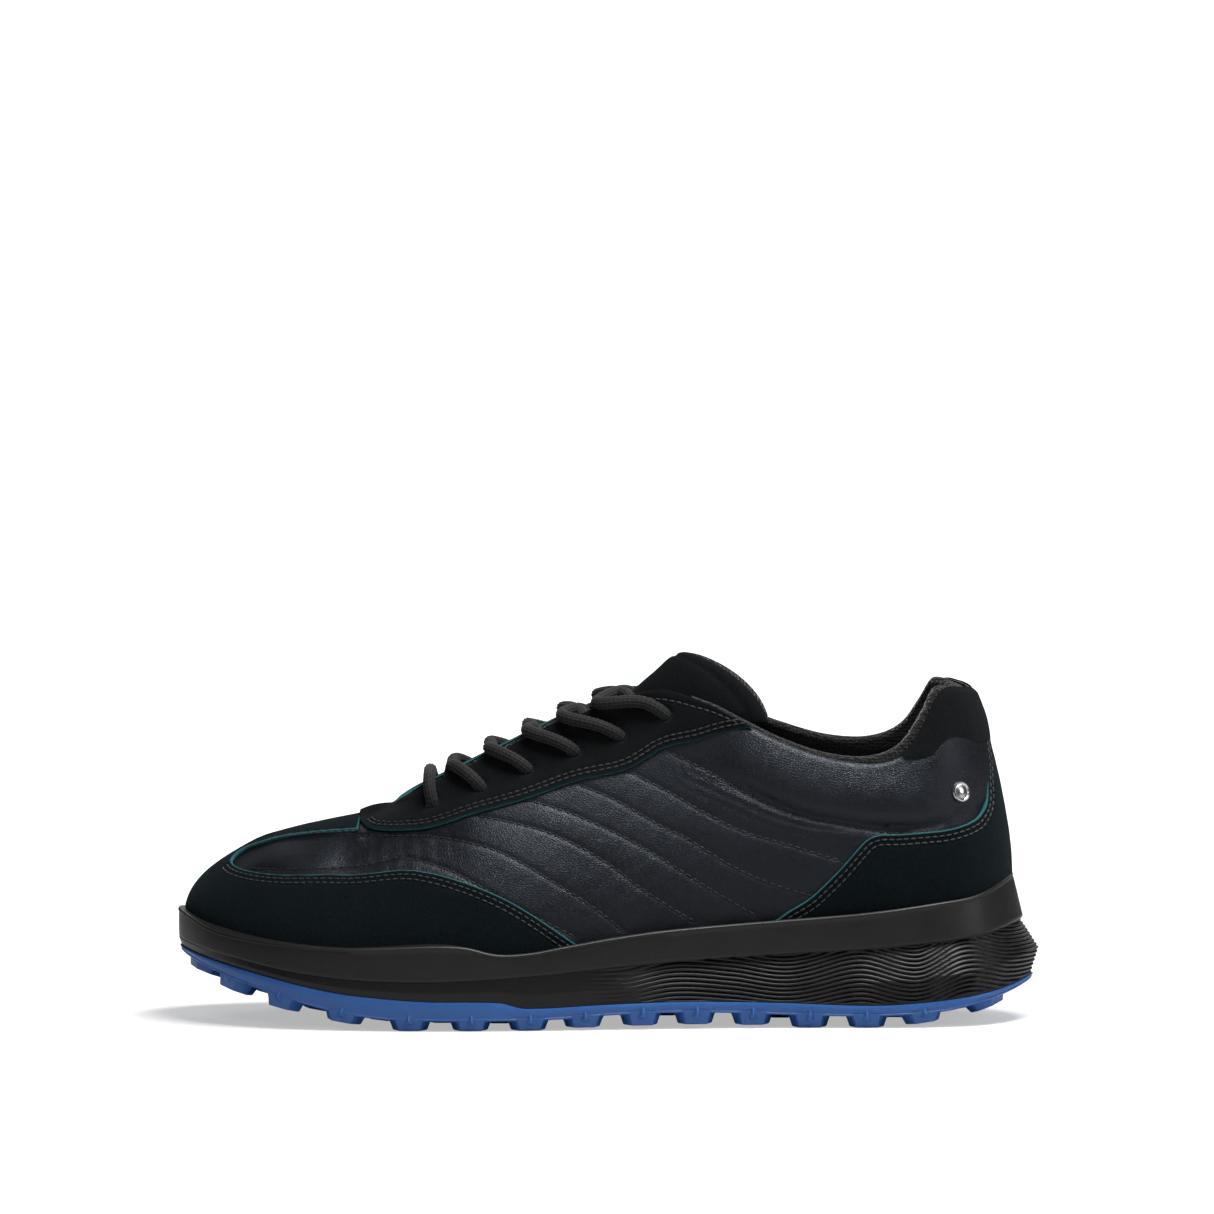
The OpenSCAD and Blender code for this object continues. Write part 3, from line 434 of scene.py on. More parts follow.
def shaded(name, mesh, sharp):
    """An object that shades smoothly, but for edges sharper than sharp degrees."""
    mesh.shade_smooth()
    mesh.set_sharp_from_angle(angle=math.radians(sharp))
    return linked(name, mesh)


def place(obj, body, slot_name, *nodes):
    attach(obj, body)
    if nodes:
        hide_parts(*nodes)


def cut_grid(w, t, inside):
    """The part of a grid of pattern points where inside is above 0, cut along its edge."""
    ni, nj = w.shape
    f = np.where((inside > 0) & (inside < CUT_CLEAR), CUT_CLEAR, inside)
    f = np.where((f <= 0) & (f > -CUT_CLEAR), -CUT_CLEAR, f)
    index = np.arange(ni * nj).reshape(ni, nj)
    a, b, c, d = index[:-1, :-1], index[1:, :-1], index[1:, 1:], index[:-1, 1:]
    quads = np.stack([a, b, c, d], -1).reshape(-1, 4)
    value = f.ravel()
    up = value[quads] > 0
    whole = quads[up.all(1)]
    ww, tt, ff = list(w.ravel()), list(t.ravel()), list(value)
    made, faces = {}, [tuple(q) for q in whole]

    def crossing(p, q):
        key = (min(p, q), max(p, q))
        if key not in made:
            u = ff[p] / (ff[p] - ff[q])
            made[key] = len(ww)
            ww.append(ww[p] + (ww[q] - ww[p]) * u)
            tt.append(tt[p] + (tt[q] - tt[p]) * u)
            ff.append(0.0)
        return made[key]

    for quad in quads[up.any(1) & ~up.all(1)]:
        ring = []
        for i in range(4):
            p, q = int(quad[i]), int(quad[(i + 1) % 4])
            if value[p] > 0:
                ring.append(p)
            if (value[p] > 0) != (value[q] > 0):
                ring.append(crossing(p, q))
        if len(ring) > 2:
            faces.append(tuple(ring))
    return np.array(ww), np.array(tt), np.array(ff), faces


def compact(faces, *columns):
    """Only the points that faces use."""
    used = np.unique(np.concatenate([np.array(f) for f in faces]))
    new = np.full(int(used.max()) + 1, -1)
    new[used] = np.arange(len(used))
    return [tuple(int(i) for i in new[list(f)]) for f in faces], [c[used] for c in columns]


def joined(parts):
    """Several cut grids as one, with points that fall together made one."""
    w = np.concatenate([p[0] for p in parts])
    t = np.concatenate([p[1] for p in parts])
    f = np.concatenate([p[2] for p in parts])
    faces, base = [], 0
    for p in parts:
        faces += [tuple(int(i) + base for i in q) for q in p[3]]
        base += len(p[0])
    faces, (w, t, f) = compact(faces, w, t, f)
    key = np.round(skin(w, t) / SAME_POINT).astype(np.int64)
    _, first, back = np.unique(key, axis=0, return_index=True, return_inverse=True)
    back = back.ravel()
    merged = []
    for q in faces:
        ring = [int(back[i]) for i in q]
        ring = [v for i, v in enumerate(ring) if v != ring[i - 1]]
        if len(set(ring)) > 2:
            merged.append(tuple(ring))
    return w[first], t[first], f[first], merged


def shell(name, parts, outside, inside, materials, sharp=38):
    """A sheet of the upper with its thickness. The cut edge's wall has the second material.

    outside is a function of (w, t, distance from the cut edge) and inside is one level."""
    w, t, f, faces = joined(parts)
    top, low = skin(w, t, outside(w, t, f)), skin(w, t, np.full(len(w), inside))
    n = len(w)
    seen = {(p, q[(i + 1) % len(q)]): True for q in faces for i, p in enumerate(q)}
    rim = [e for e in seen if (e[1], e[0]) not in seen]
    points = np.vstack([top, low])
    all_faces = faces + [tuple(i + n for i in reversed(q)) for q in faces]
    all_faces += [(b, a, a + n, b + n) for a, b in rim]
    slots = [0] * (2 * len(faces)) + [len(materials) - 1] * len(rim)
    return make_mesh(name, points, all_faces, materials, slots,
                     {"edge_mm": np.concatenate([f, f])}, sharp)


def grid(w_lo, w_hi, t_lo, t_hi, cell=0.8):
    """Pattern points about a cell apart. t_lo and t_hi are numbers or functions of w."""
    low = t_lo if callable(t_lo) else (lambda w: np.full_like(w, t_lo))
    high = t_hi if callable(t_hi) else (lambda w: np.full_like(w, t_hi))
    probe = np.linspace(w_lo, w_hi, 200)
    along = max(np.linalg.norm(np.diff(skin(probe, s(probe)), axis=0), axis=1).sum()
                for s in (low, lambda w: (low(w) + high(w)) / 2))
    middle = np.linspace(w_lo, w_hi, 9)
    across = max(
        np.linalg.norm(np.diff(skin(np.full(50, m), np.linspace(low(np.array([m]))[0],
                                                               high(np.array([m]))[0], 50)),
                               axis=0), axis=1).sum() for m in middle)
    ni, nj = int(along / cell) + 2, int(across / cell) + 2
    # Equal steps in space along the middle
    mid = skin(probe, (low(probe) + high(probe)) / 2)
    walk = np.append(0, np.cumsum(np.linalg.norm(np.diff(mid, axis=0), axis=1)))
    w = np.interp(np.linspace(0, walk[-1], ni), walk, probe)
    s = np.linspace(0, 1, nj)
    return (np.repeat(w[:, None], nj, 1),
            low(w)[:, None] * (1 - s) + high(w)[:, None] * s)


# ---- Pattern of the upper -----------------------------------------------------------------

WING = [(-.69, .704), (-1.03, .653), (-1.36, .616), (-1.84, .583), (-2.42, .562),
        (-3.14, .548), (-3.75, .547), (-4.11, .516), (-4.46, .463), (-4.7, .421),
        (-5.06, .348), (-5.43, .259), (-5.8, .163), (-5.99, .118), (-6.16, .07)]
STRIP = [(-.69, .704), (-.5, .76), (-.45, .81), (-.52, .85), (-.8, .874), (-1.56, .884),
         (-2.19, .866), (-2.78, .834), (-3.18, .819)]
STAY_LOW = [(-3.16, .93), (-3.21, .887), (-3.34, .821), (-3.52, .785), (-3.78, .757),
            (-4.06, .736), (-4.36, .735), (-4.66, .738), (-5.27, .725), (-5.89, .729),
            (-6.5, .73), (-6.93, .788), (-7.35, .853), (-7.83, .954), (-8.05, 1.0)]
HEEL_EDGE = [(-8.02, .09), (-8.16, .123), (-8.35, .152), (-8.53, .198), (-8.76, .254),
             (-8.96, .33), (-9.19, .436), (-9.37, .534), (-9.49, .594), (-9.6, .622),
             (-9.77, .631), (-10.13, .609), (-10.44, .564), (-10.8, .511), (-11.07, .519),
             (-11.26, .555), (-11.39, .598), (-11.49, .669), (-11.62, .76), (-11.74, .85),
             (-11.86, .885), (-12, .895)]
TAB_SEAM = [(-10.0, 1.01), (-10.04, .994), (-10.57, .852), (-10.9, .785), (-11.27, .777),
            (-11.62, .787), (-12, .79)]
COLLAR_CREASE = [(-7.35, .762), (-8, .73), (-8.65, .704), (-9.29, .7), (-9.98, .67),
                 (-10.61, .576)]
QUILT_ROWS = [
    [(-1.44, .644), (-2.56, .609), (-3.27, .608), (-3.76, .616), (-4.23, .542),
     (-4.58, .462), (-5.06, .34), (-5.49, .252), (-5.86, .175)],
    [(-3.13, .79), (-3.45, .768), (-3.7, .741), (-4.06, .705), (-4.3, .667), (-4.71, .597),
     (-5.07, .521), (-5.55, .402), (-5.99, .298), (-6.3, .217), (-6.44, .173)],
    [(-4.69, .726), (-5.08, .657), (-5.44, .591), (-5.81, .519), (-6.3, .412), (-6.66, .32),
     (-7.03, .236), (-7.35, .168)],
    [(-5.27, .725), (-5.88, .609), (-6.3, .531), (-6.66, .465), (-7.14, .372), (-7.65, .273),
     (-8.1, .183)],
    [(-5.95, .713), (-6.31, .644), (-6.9, .53), (-7.25, .484), (-7.76, .399), (-8.34, .325),
     (-8.84, .27)],
    [(-6.55, .723), (-6.9, .66), (-7.36, .598), (-7.88, .55), (-8.52, .529), (-9.16, .481)],
    [(-7.03, .779), (-7.47, .746), (-8, .709), (-8.52, .691), (-9.03, .685), (-9.55, .662),
     (-10.13, .614)]]
EYELETS = [(4.16, .87), (4.75, .853), (5.32, .85), (5.91, .848), (6.45, .858), (6.98, .912)]
EYELET_R = 2.5


def flip(line, side):
    """A pattern line of the outer side, or its twin on the inner side."""
    p = np.array(line, float)
    return p if side < 0 else p * (-1, 1)


def over_heel(line):
    """A pattern line that ends at the heel's middle, with its twin beyond it."""
    p = np.array(line, float)
    return np.vstack([p, (p[:-1] * (-1, 1) + (-TURN, 0))[::-1]])


def on_skin(line, off=0.0):
    p = np.asarray(line, float)
    return skin(p[:, 0], p[:, 1], np.full(len(p), off))


def signed(w, t, outline, cuts):
    """Distance inside an outline, in millimetres, from its cut edges."""
    d = distance_to(skin(w.ravel(), t.ravel()), [on_skin(c) for c in cuts]).reshape(w.shape)
    return np.where(within(w, t, outline), d, -d)


def beside(line, gap):
    """A pattern line moved gap millimetres across the surface, to the left of its direction."""
    p = dense(line, 10)
    here = on_skin(p)
    along = unit(np.gradient(here, axis=0))
    normal = skin_normal(p[:, 0], p[:, 1])
    across = np.cross(normal, along)
    e = 0.01
    dw = (skin(p[:, 0] + e, p[:, 1]) - skin(p[:, 0] - e, p[:, 1])) / (2 * e)
    dt = (skin(p[:, 0], p[:, 1] + e) - skin(p[:, 0], p[:, 1] - e)) / (2 * e)
    moved = []
    for q, c, a, b in zip(p, across * gap, dw, dt):
        s, *_ = np.linalg.lstsq(np.stack([a, b], 1), c, rcond=None)
        moved.append(q + s)
    return np.array(moved)


# ---- Finishes -----------------------------------------------------------------------------


def new_group(name, inputs, outputs):
    tree = bpy.data.node_groups.new(name, "ShaderNodeTree")
    for key, kind, value in inputs:
        socket = tree.interface.new_socket(name=key, in_out="INPUT", socket_type=kind)
        if value is not None:
            socket.default_value = value
    for key, kind in outputs:
        tree.interface.new_socket(name=key, in_out="OUTPUT", socket_type=kind)
    return tree, tree.nodes.new("NodeGroupInput"), tree.nodes.new("NodeGroupOutput")


FLOAT, VECTOR = "NodeSocketFloat", "NodeSocketVector"


def grain_group():
    """Leather grain: small cells with soft creases, and cloudy wear of the colour."""
    tree, into, out = new_group(
        "leather_grain",
        [("Vector", VECTOR, None), ("Cell Size", FLOAT, 1500.0), ("Cloud Size", FLOAT, 60.0)],
        [("Height", FLOAT), ("Cloud", FLOAT), ("Pores", FLOAT)])
    v = into.outputs["Vector"]
    cells = add(tree, "ShaderNodeTexVoronoi", {"Vector": v, "Scale": into.outputs["Cell Size"]},
                feature="DISTANCE_TO_EDGE")
    fine = add(tree, "ShaderNodeTexNoise",
               {"Vector": v, "Scale": into.outputs["Cell Size"], "Detail": 3.0})
    cloud = add(tree, "ShaderNodeTexNoise",
                {"Vector": v, "Scale": into.outputs["Cloud Size"], "Detail": 5.0,
                 "Roughness": 0.6})
    cell = between(tree, cells.outputs["Distance"], 0.0, 0.25)
    height = calc(tree, "ADD", calc(tree, "MULTIPLY", cell, 0.6),
                  calc(tree, "MULTIPLY", fine.outputs["Fac"], 0.8))
    tree.links.new(height, out.inputs["Height"])
    tree.links.new(cloud.outputs["Fac"], out.inputs["Cloud"])
    tree.links.new(cell, out.inputs["Pores"])
    return tree


def nap_group():
    """Brushed nap of suede and nubuck: short fibres, with patches that lie another way."""
    tree, into, out = new_group(
        "brushed_nap",
        [("Vector", VECTOR, None), ("Fibre Size", FLOAT, 2200.0), ("Patch Size", FLOAT, 90.0)],
        [("Height", FLOAT), ("Patch", FLOAT), ("Fibre", FLOAT)])
    v = into.outputs["Vector"]
    stretched = add(tree, "ShaderNodeMapping", {"Vector": v, "Scale": (1.0, 1.0, 0.45)})
    fibre = add(tree, "ShaderNodeTexNoise",
                {"Vector": stretched.outputs[0], "Scale": into.outputs["Fibre Size"],
                 "Detail": 4.0, "Roughness": 0.7})
    patch = add(tree, "ShaderNodeTexNoise",
                {"Vector": v, "Scale": into.outputs["Patch Size"], "Detail": 6.0,
                 "Roughness": 0.62, "Distortion": 0.4})
    tree.links.new(fibre.outputs["Fac"], out.inputs["Height"])
    tree.links.new(between(tree, patch.outputs["Fac"], 0.3, 0.7), out.inputs["Patch"])
    tree.links.new(between(tree, fibre.outputs["Fac"], 0.35, 0.65), out.inputs["Fibre"])
    return tree


def knit_group():
    """Knitted lining: rows of small loops that catch the light one by one."""
    tree, into, out = new_group(
        "knit_loops",
        [("Vector", VECTOR, None), ("Loop Size", FLOAT, 900.0)],
        [("Height", FLOAT), ("Loop", FLOAT)])
    v = into.outputs["Vector"]
    cells = add(tree, "ShaderNodeTexVoronoi", {"Vector": v, "Scale": into.outputs["Loop Size"],
                                               "Randomness": 0.55})
    fuzz = add(tree, "ShaderNodeTexNoise", {"Vector": v, "Scale": 3000.0, "Detail": 2.0})
    loop = between(tree, cells.outputs["Distance"], 0.1, 0.7, 1.0, 0.0)
    height = calc(tree, "ADD", loop, calc(tree, "MULTIPLY", fuzz.outputs["Fac"], 0.3))
    tree.links.new(height, out.inputs["Height"])
    tree.links.new(loop, out.inputs["Loop"])
    return tree


def moulded_group():
    """Skin of a moulded foam or rubber: a fine spark texture and faint handling marks."""
    tree, into, out = new_group(
        "moulded_skin",
        [("Vector", VECTOR, None), ("Spark Size", FLOAT, 1800.0), ("Mark Size", FLOAT, 45.0)],
        [("Height", FLOAT), ("Marks", FLOAT)])
    v = into.outputs["Vector"]
    spark = add(tree, "ShaderNodeTexNoise", {"Vector": v, "Scale": into.outputs["Spark Size"],
                                             "Detail": 2.0})
    marks = add(tree, "ShaderNodeTexNoise", {"Vector": v, "Scale": into.outputs["Mark Size"],
                                             "Detail": 7.0, "Roughness": 0.65})
    tree.links.new(spark.outputs["Fac"], out.inputs["Height"])
    tree.links.new(marks.outputs["Fac"], out.inputs["Marks"])
    return tree


GRAIN, NAP, KNIT, MOULDED = grain_group(), nap_group(), knit_group(), moulded_group()


class Finish:
    """A Principled material being put together."""

    def __init__(self, name, **fixed):
        self.mat = bpy.data.materials.new(name)
        self.mat.use_nodes = True
        self.tree = self.mat.node_tree
        self.shader = self.tree.nodes["Principled BSDF"]
        for key, value in fixed.items():
            self.shader.inputs[key.replace("_", " ")].default_value = value
        self.place = add(self.tree, "ShaderNodeTexCoord").outputs["Object"]

    def group(self, tree, **values):
        node = add(self.tree, "ShaderNodeGroup", node_tree=tree)
        self.tree.links.new(self.place, node.inputs["Vector"])
        for key, value in values.items():
            node.inputs[key.replace("_", " ")].default_value = value
        return node.outputs

    def read(self, name):
        return add(self.tree, "ShaderNodeAttribute", attribute_name=name).outputs["Fac"]

    def color(self, socket):
        self.tree.links.new(socket, self.shader.inputs["Base Color"])

    def rough(self, socket):
        self.tree.links.new(socket, self.shader.inputs["Roughness"])

    def bump(self, height, distance, strength):
        node = add(self.tree, "ShaderNodeBump", {"Height": height, "Distance": distance,
                                                 "Strength": strength})
        self.tree.links.new(node.outputs["Normal"], self.shader.inputs["Normal"])


def rgb(r, g, b):
    return (r, g, b, 1.0)


def smooth_leather():
    f = Finish("smooth_leather", Specular_IOR_Level=0.36, Sheen_Weight=0.015, Sheen_Roughness=0.4,
               Sheen_Tint=rgb(0.6, 0.7, 1.0), Specular_Tint=rgb(0.8, 0.88, 1.0))
    g = f.group(GRAIN, Cell_Size=1300.0, Cloud_Size=45.0)
    base = mixed(f.tree, g["Cloud"], rgb(0.0012, 0.0017, 0.0032), rgb(0.0032, 0.0042, 0.0072))
    f.color(mixed(f.tree, between(f.tree, g["Pores"], 0.0, 1.0, 0.45, 0.0), base,
                  rgb(0.001, 0.001, 0.0014)))
    f.rough(between(f.tree, g["Cloud"], 0.25, 0.75, 0.34, 0.46))
    f.bump(g["Height"], 0.00016, 0.55)
    return f.mat


def napped(name, dark, light, scuff, edge, tint_edge):
    """Suede or nubuck, with its raw edge showing within half a millimetre of a cut."""
    f = Finish(name, Specular_IOR_Level=0.05, Sheen_Weight=0.025, Sheen_Roughness=0.5,
               Sheen_Tint=tint_edge)
    g = f.group(NAP, Fibre_Size=1700.0, Patch_Size=70.0)
    base = mixed(f.tree, g["Patch"], dark, light)
    base = mixed(f.tree, calc(f.tree, "MULTIPLY", g["Fibre"], 0.45), base, scuff)
    raw = between(f.tree, f.read("edge_mm"), 0.2, 0.55, 1.0, 0.0)
    f.color(mixed(f.tree, raw, base, edge))
    f.rough(between(f.tree, g["Patch"], 0.0, 1.0, 0.82, 0.95))
    f.bump(g["Height"], 0.0004, 0.8)
    return f.mat


def raw_edge():
    f = Finish("raw_edge_teal", Specular_IOR_Level=0.15, Roughness=0.9)
    g = f.group(NAP, Fibre_Size=2600.0, Patch_Size=400.0)
    f.color(mixed(f.tree, g["Fibre"], rgb(0.01, 0.05, 0.057), rgb(0.036, 0.13, 0.145)))
    f.bump(g["Height"], 0.0003, 0.7)
    return f.mat


def sole_band():
    """Moulded foam: warm black, a little greyer where it is handled. The band has painted light, a
    lighter black than the wall of the same foam, and the grooves have painted shade.
    """
    f = Finish("midsole_black", Specular_IOR_Level=0.34)
    g = f.group(MOULDED, Spark_Size=1500.0, Mark_Size=38.0)
    # Painted light: the band is the same foam as the wall below, painted a lighter black where its
    # sheen falls; the wall gets the shaded copy.
    band = mixed(f.tree, g["Marks"], rgb(0.0065, 0.0058, 0.0058), rgb(0.012, 0.011, 0.011))
    shaded_wall = mixed(f.tree, g["Marks"], rgb(0.002, 0.0018, 0.0019), rgb(0.0042, 0.0039, 0.0039))
    color = mixed(f.tree, f.read("band"), shaded_wall, band)
    # Painted shade: near-black down in the wave grooves.
    f.color(mixed(f.tree, f.read("groove"), color, rgb(0.0006, 0.0006, 0.0006)))
    f.rough(between(f.tree, g["Marks"], 0.3, 0.7, 0.34, 0.46))
    f.bump(g["Height"], 0.00012, 0.5)
    return f.mat


def sole_rubber():
    f = Finish("outsole_blue", Specular_IOR_Level=0.45, Subsurface_Weight=0.12,
               Subsurface_Scale=0.003, Subsurface_Radius=(0.3, 0.6, 1.0))
    g = f.group(MOULDED, Spark_Size=900.0, Mark_Size=60.0)
    f.color(mixed(f.tree, g["Marks"], rgb(0.018, 0.085, 0.29), rgb(0.032, 0.125, 0.4)))
    f.rough(between(f.tree, g["Marks"], 0.3, 0.7, 0.34, 0.48))
    f.bump(g["Height"], 0.00015, 0.35)
    return f.mat


def knitted(name, dark, light, loop=850.0):
    f = Finish(name, Specular_IOR_Level=0.15, Sheen_Weight=0.3, Sheen_Roughness=0.5,
               Roughness=0.95)
    g = f.group(KNIT, Loop_Size=loop)
    f.color(mixed(f.tree, g["Loop"], dark, light))
    f.bump(g["Height"], 0.0006, 0.9)
    return f.mat


def braided():
    """Lace yarn, with painted shade between the strands: the height of its braid is an attribute.
    """
    f = Finish("lace_braid", Specular_IOR_Level=0.3, Sheen_Weight=0.05, Sheen_Roughness=0.45,
               Roughness=0.75)
    fine = add(f.tree, "ShaderNodeTexNoise", {"Vector": f.place, "Scale": 5200.0, "Detail": 2.0})
    top = mixed(f.tree, fine.outputs["Fac"], rgb(0.01, 0.0096, 0.01), rgb(0.03, 0.029, 0.029))
    # Painted shade: near-black where the braid's crown is low, down between the strands.
    f.color(mixed(f.tree, between(f.tree, f.read("crown"), 0.42, 0.95),
                  rgb(0.0005, 0.0005, 0.0006), top))
    f.bump(fine.outputs["Fac"], 0.0002, 0.8)
    return f.mat


def thread(name, dark, light):
    f = Finish(name, Specular_IOR_Level=0.35, Roughness=0.5, Sheen_Weight=0.2)
    twist = add(f.tree, "ShaderNodeTexNoise", {"Vector": f.place, "Scale": 4200.0, "Detail": 2.0})
    f.color(mixed(f.tree, twist.outputs["Fac"], dark, light))
    f.bump(twist.outputs["Fac"], 0.0002, 0.7)
    return f.mat


def plain(name, dark, light, size, low_rough, high_rough, depth=0.0002, **fixed):
    """Two close tones and a fine texture: boards, foams, sheets and metal."""
    f = Finish(name, **fixed)
    g = f.group(MOULDED, Spark_Size=size, Mark_Size=size * 0.06)
    f.color(mixed(f.tree, g["Marks"], dark, light))
    f.rough(between(f.tree, g["Marks"], 0.3, 0.7, low_rough, high_rough))
    f.bump(g["Height"], depth, 0.6)
    return f.mat


LEATHER = smooth_leather()
SUEDE = napped("suede_teal_black", rgb(0.0009, 0.0019, 0.0024), rgb(0.0026, 0.0052, 0.0064),
               rgb(0.0065, 0.0115, 0.0135), rgb(0.028, 0.115, 0.128), rgb(0.6, 0.8, 0.9))
NUBUCK = napped("nubuck_black", rgb(0.0026, 0.0028, 0.0033), rgb(0.0052, 0.0056, 0.0062),
                rgb(0.0105, 0.011, 0.0115), rgb(0.008, 0.026, 0.029), rgb(0.6, 0.75, 0.85))
EDGE = raw_edge()
BAND = sole_band()
BLUE = sole_rubber()
LINING = knitted("lining_textile", rgb(0.0015, 0.0015, 0.0016), rgb(0.012, 0.012, 0.013))
FOOTBED_KNIT = knitted("footbed_textile", rgb(0.006, 0.006, 0.007), rgb(0.022, 0.023, 0.025),
                       1200.0)
LACE = braided()
THREAD = thread("seam_thread", rgb(0.005, 0.0058, 0.0068), rgb(0.024, 0.027, 0.031))
QUILT_THREAD = thread("quilt_thread", rgb(0.0008, 0.0009, 0.0011), rgb(0.006, 0.0068, 0.008))
FOOTBED_FOAM = plain("footbed_foam", rgb(0.03, 0.03, 0.033), rgb(0.07, 0.07, 0.075), 1500.0,
                     0.85, 0.95, 0.0005)
BOARD = plain("board_fibre", rgb(0.33, 0.26, 0.17), rgb(0.5, 0.42, 0.3), 700.0, 0.8, 0.92)
STEEL = plain("shank_steel", rgb(0.42, 0.42, 0.44), rgb(0.58, 0.58, 0.6), 500.0, 0.3, 0.42,
              0.00005, Metallic=1.0)
MEMBRANE = plain("membrane_grey", rgb(0.02, 0.02, 0.022), rgb(0.05, 0.05, 0.055), 1100.0, 0.7,
                 0.85)
STIFFENER = plain("stiffener", rgb(0.42, 0.37, 0.3), rgb(0.55, 0.5, 0.42), 900.0, 0.55, 0.7)
TIP = plain("lace_tip_plastic", rgb(0.006, 0.006, 0.006), rgb(0.014, 0.014, 0.014), 900.0, 0.18,
            0.3, 0.00005)
STUD = plain("stud_metal", rgb(0.5, 0.5, 0.5), rgb(0.68, 0.68, 0.68), 500.0, 0.16, 0.26, 0.00003,
             Metallic=1.0)
CAD_FINISH = {
    "shank": STEEL, "lasting_board": BOARD, "footbed": FOOTBED_FOAM, "eyestay_backing": LINING,
    "waterproof_lining": MEMBRANE, "toe_puff": STIFFENER, "heel_counter": STIFFENER,
    "lace_tips": TIP}
for node_name, finish in CAD_FINISH.items():
    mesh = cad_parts[node_name].data
    mesh.materials.clear()
    mesh.materials.append(finish)


# ---- Leather quarters ---------------------------------------------------------------------

LEATHER_BACK = -1.3
OVER_IN, OVER_OUT = 0.3, 1.6


def soft_waves(p):
    """Slow dents of worn leather, from -1 to 1, at points in millimetres."""
    x, y, z = p[..., 0], p[..., 1], p[..., 2]
    return (np.sin(x * 0.21 + z * 0.13) * np.sin(z * 0.19 - x * 0.07 + 1.3)
            + 0.5 * np.sin(x * 0.47 - z * 0.39 + 0.7) * np.sin(z * 0.31 + y * 0.2)) / 1.5


def quarter_face(side):
    """How far the outer leather face stands off its plain surface: seams pull it in, and the
    padded collar pushes it out above a crease."""
    rows = [on_skin(dense(flip(r, side), 12)) for r in QUILT_ROWS]
    crease = on_skin(dense(flip(COLLAR_CREASE, side), 12))
    fold_w, fold_t = np.array(COLLAR_CREASE)[:, 0], np.array(COLLAR_CREASE)[:, 1]

    def offset(w, t, f):
        p = skin(w, t)
        seam = distance_to(p, rows)
        fold = distance_to(p, [crease])
        away = np.abs(wrap(w))
        base = np.interp(-away, fold_w[::-1], fold_t[::-1])
        rise = np.clip((t - base) / (1.0 - base), 0, 1)
        padded = smooth_step(away, 7.1, 8.4) * (1 - 0.45 * smooth_step(away, 10.4, 11.6))
        puff = 2.9 * np.sin(math.pi * rise**0.72) ** 0.9 * padded * (t > base)
        dent = -0.8 * np.exp(-((fold / 2.6) ** 2)) * smooth_step(away, 7.3, 8.0)
        quilt = 0.17 * (1 - np.exp(-((seam / 3.2) ** 2))) - 0.4 * np.exp(-((seam / 0.75) ** 2))
        quilt *= smooth_step(away, 1.2, 2.0) * (1 - smooth_step(away, 10.0, 10.6))
        wrinkle = 0.16 * np.sin(fold * 2.1 + p[:, 0] * 0.12) * np.exp(-((fold - 5) / 5) ** 2)
        wrinkle *= smooth_step(away, 6.6, 7.4) * (1 - smooth_step(away, 8.6, 9.6)) * (t < base)
        turned = -0.9 * smooth_step(t, 0.975, 1.0) ** 2 * (away > RIDGE_END)
        return puff + dent + quilt + wrinkle + turned + 0.16 * soft_waves(p)

    return offset


def leather_reach(w):
    """The leather's upper edge: at the collar, at the ridge, or just under the lacing panel."""
    s = np.abs(wrap(w))
    under = np.interp(s, [-r[0] for r in STAY_LOW], [r[1] for r in STAY_LOW]) + 0.05
    return np.where(s < 3.3, 1.0, np.where(s < 8.0, np.minimum(under, 0.998), 0.998))


def build_quarter(side, name):
    w, t = grid(-12.0, -0.02, 0.02, leather_reach, 0.95)
    if side > 0:
        w, t = -w[::-1], t[::-1]
    face = quarter_face(side)
    part = cut_grid(w, t, np.full(w.shape, 9.0))
    obj = shell(name, [part], face, LEATHER_BACK, [LEATHER], sharp=50)
    place(obj, "shoe", "smooth_leather", name.replace("leather_", ""))


build_quarter(-1, "leather_quarter_outer")
build_quarter(1, "leather_quarter_inner")


# ---- Suede and nubuck overlays ------------------------------------------------------------

TAB_IN, TAB_OUT = -0.2, 1.0
WING_D, STRIP_D, STAY_D = dense(WING), dense(STRIP), dense(STAY_LOW)
HEEL_D, TAB_D = over_heel(dense(HEEL_EDGE)), over_heel(dense(TAB_SEAM))


def rounded(out, f, radius=0.55, drop=0.42):
    """An outer face that rolls down towards its cut edge."""
    u = np.clip(1 - f / radius, 0, 1)
    return out - drop * u**2


def sewn(rows, depth=0.28, width=0.8):
    """How far seams pull a face in, as a function of (w, t)."""
    lines = [on_skin(r) for r in rows]
    return lambda w, t: -depth * np.exp(-((distance_to(skin(w, t), lines) / width) ** 2))


WING_ROWS = [beside(WING, -1.9)[4:-14], beside(WING, -3.7)[4:-14]]
STRIP_ROWS = [beside(STRIP[3:], -1.6)]
STAY_ROWS = [beside(STAY_LOW[1:], 1.8)[2:-4], beside(STAY_LOW[1:], 3.4)[2:-8]]
HEEL_ROWS = [beside(HEEL_EDGE, -1.9)[4:], beside(HEEL_EDGE, -3.7)[4:-20]]
TAB_ROWS = [beside(TAB_SEAM, -1.6)[4:-12]]
STAY_TOP = dense([(-6.62, .99), (-6.9, .965), (-7.2, .965), (-7.55, .975), (-7.85, .985)])


def past_heel(w):
    """A place beyond the heel's middle, read as its twin on the outer side."""
    return np.where(w < -12, -TURN - w, w)


def both_sides(rows):
    return [np.asarray(r) for r in rows] + [flip(r, 1) for r in rows]


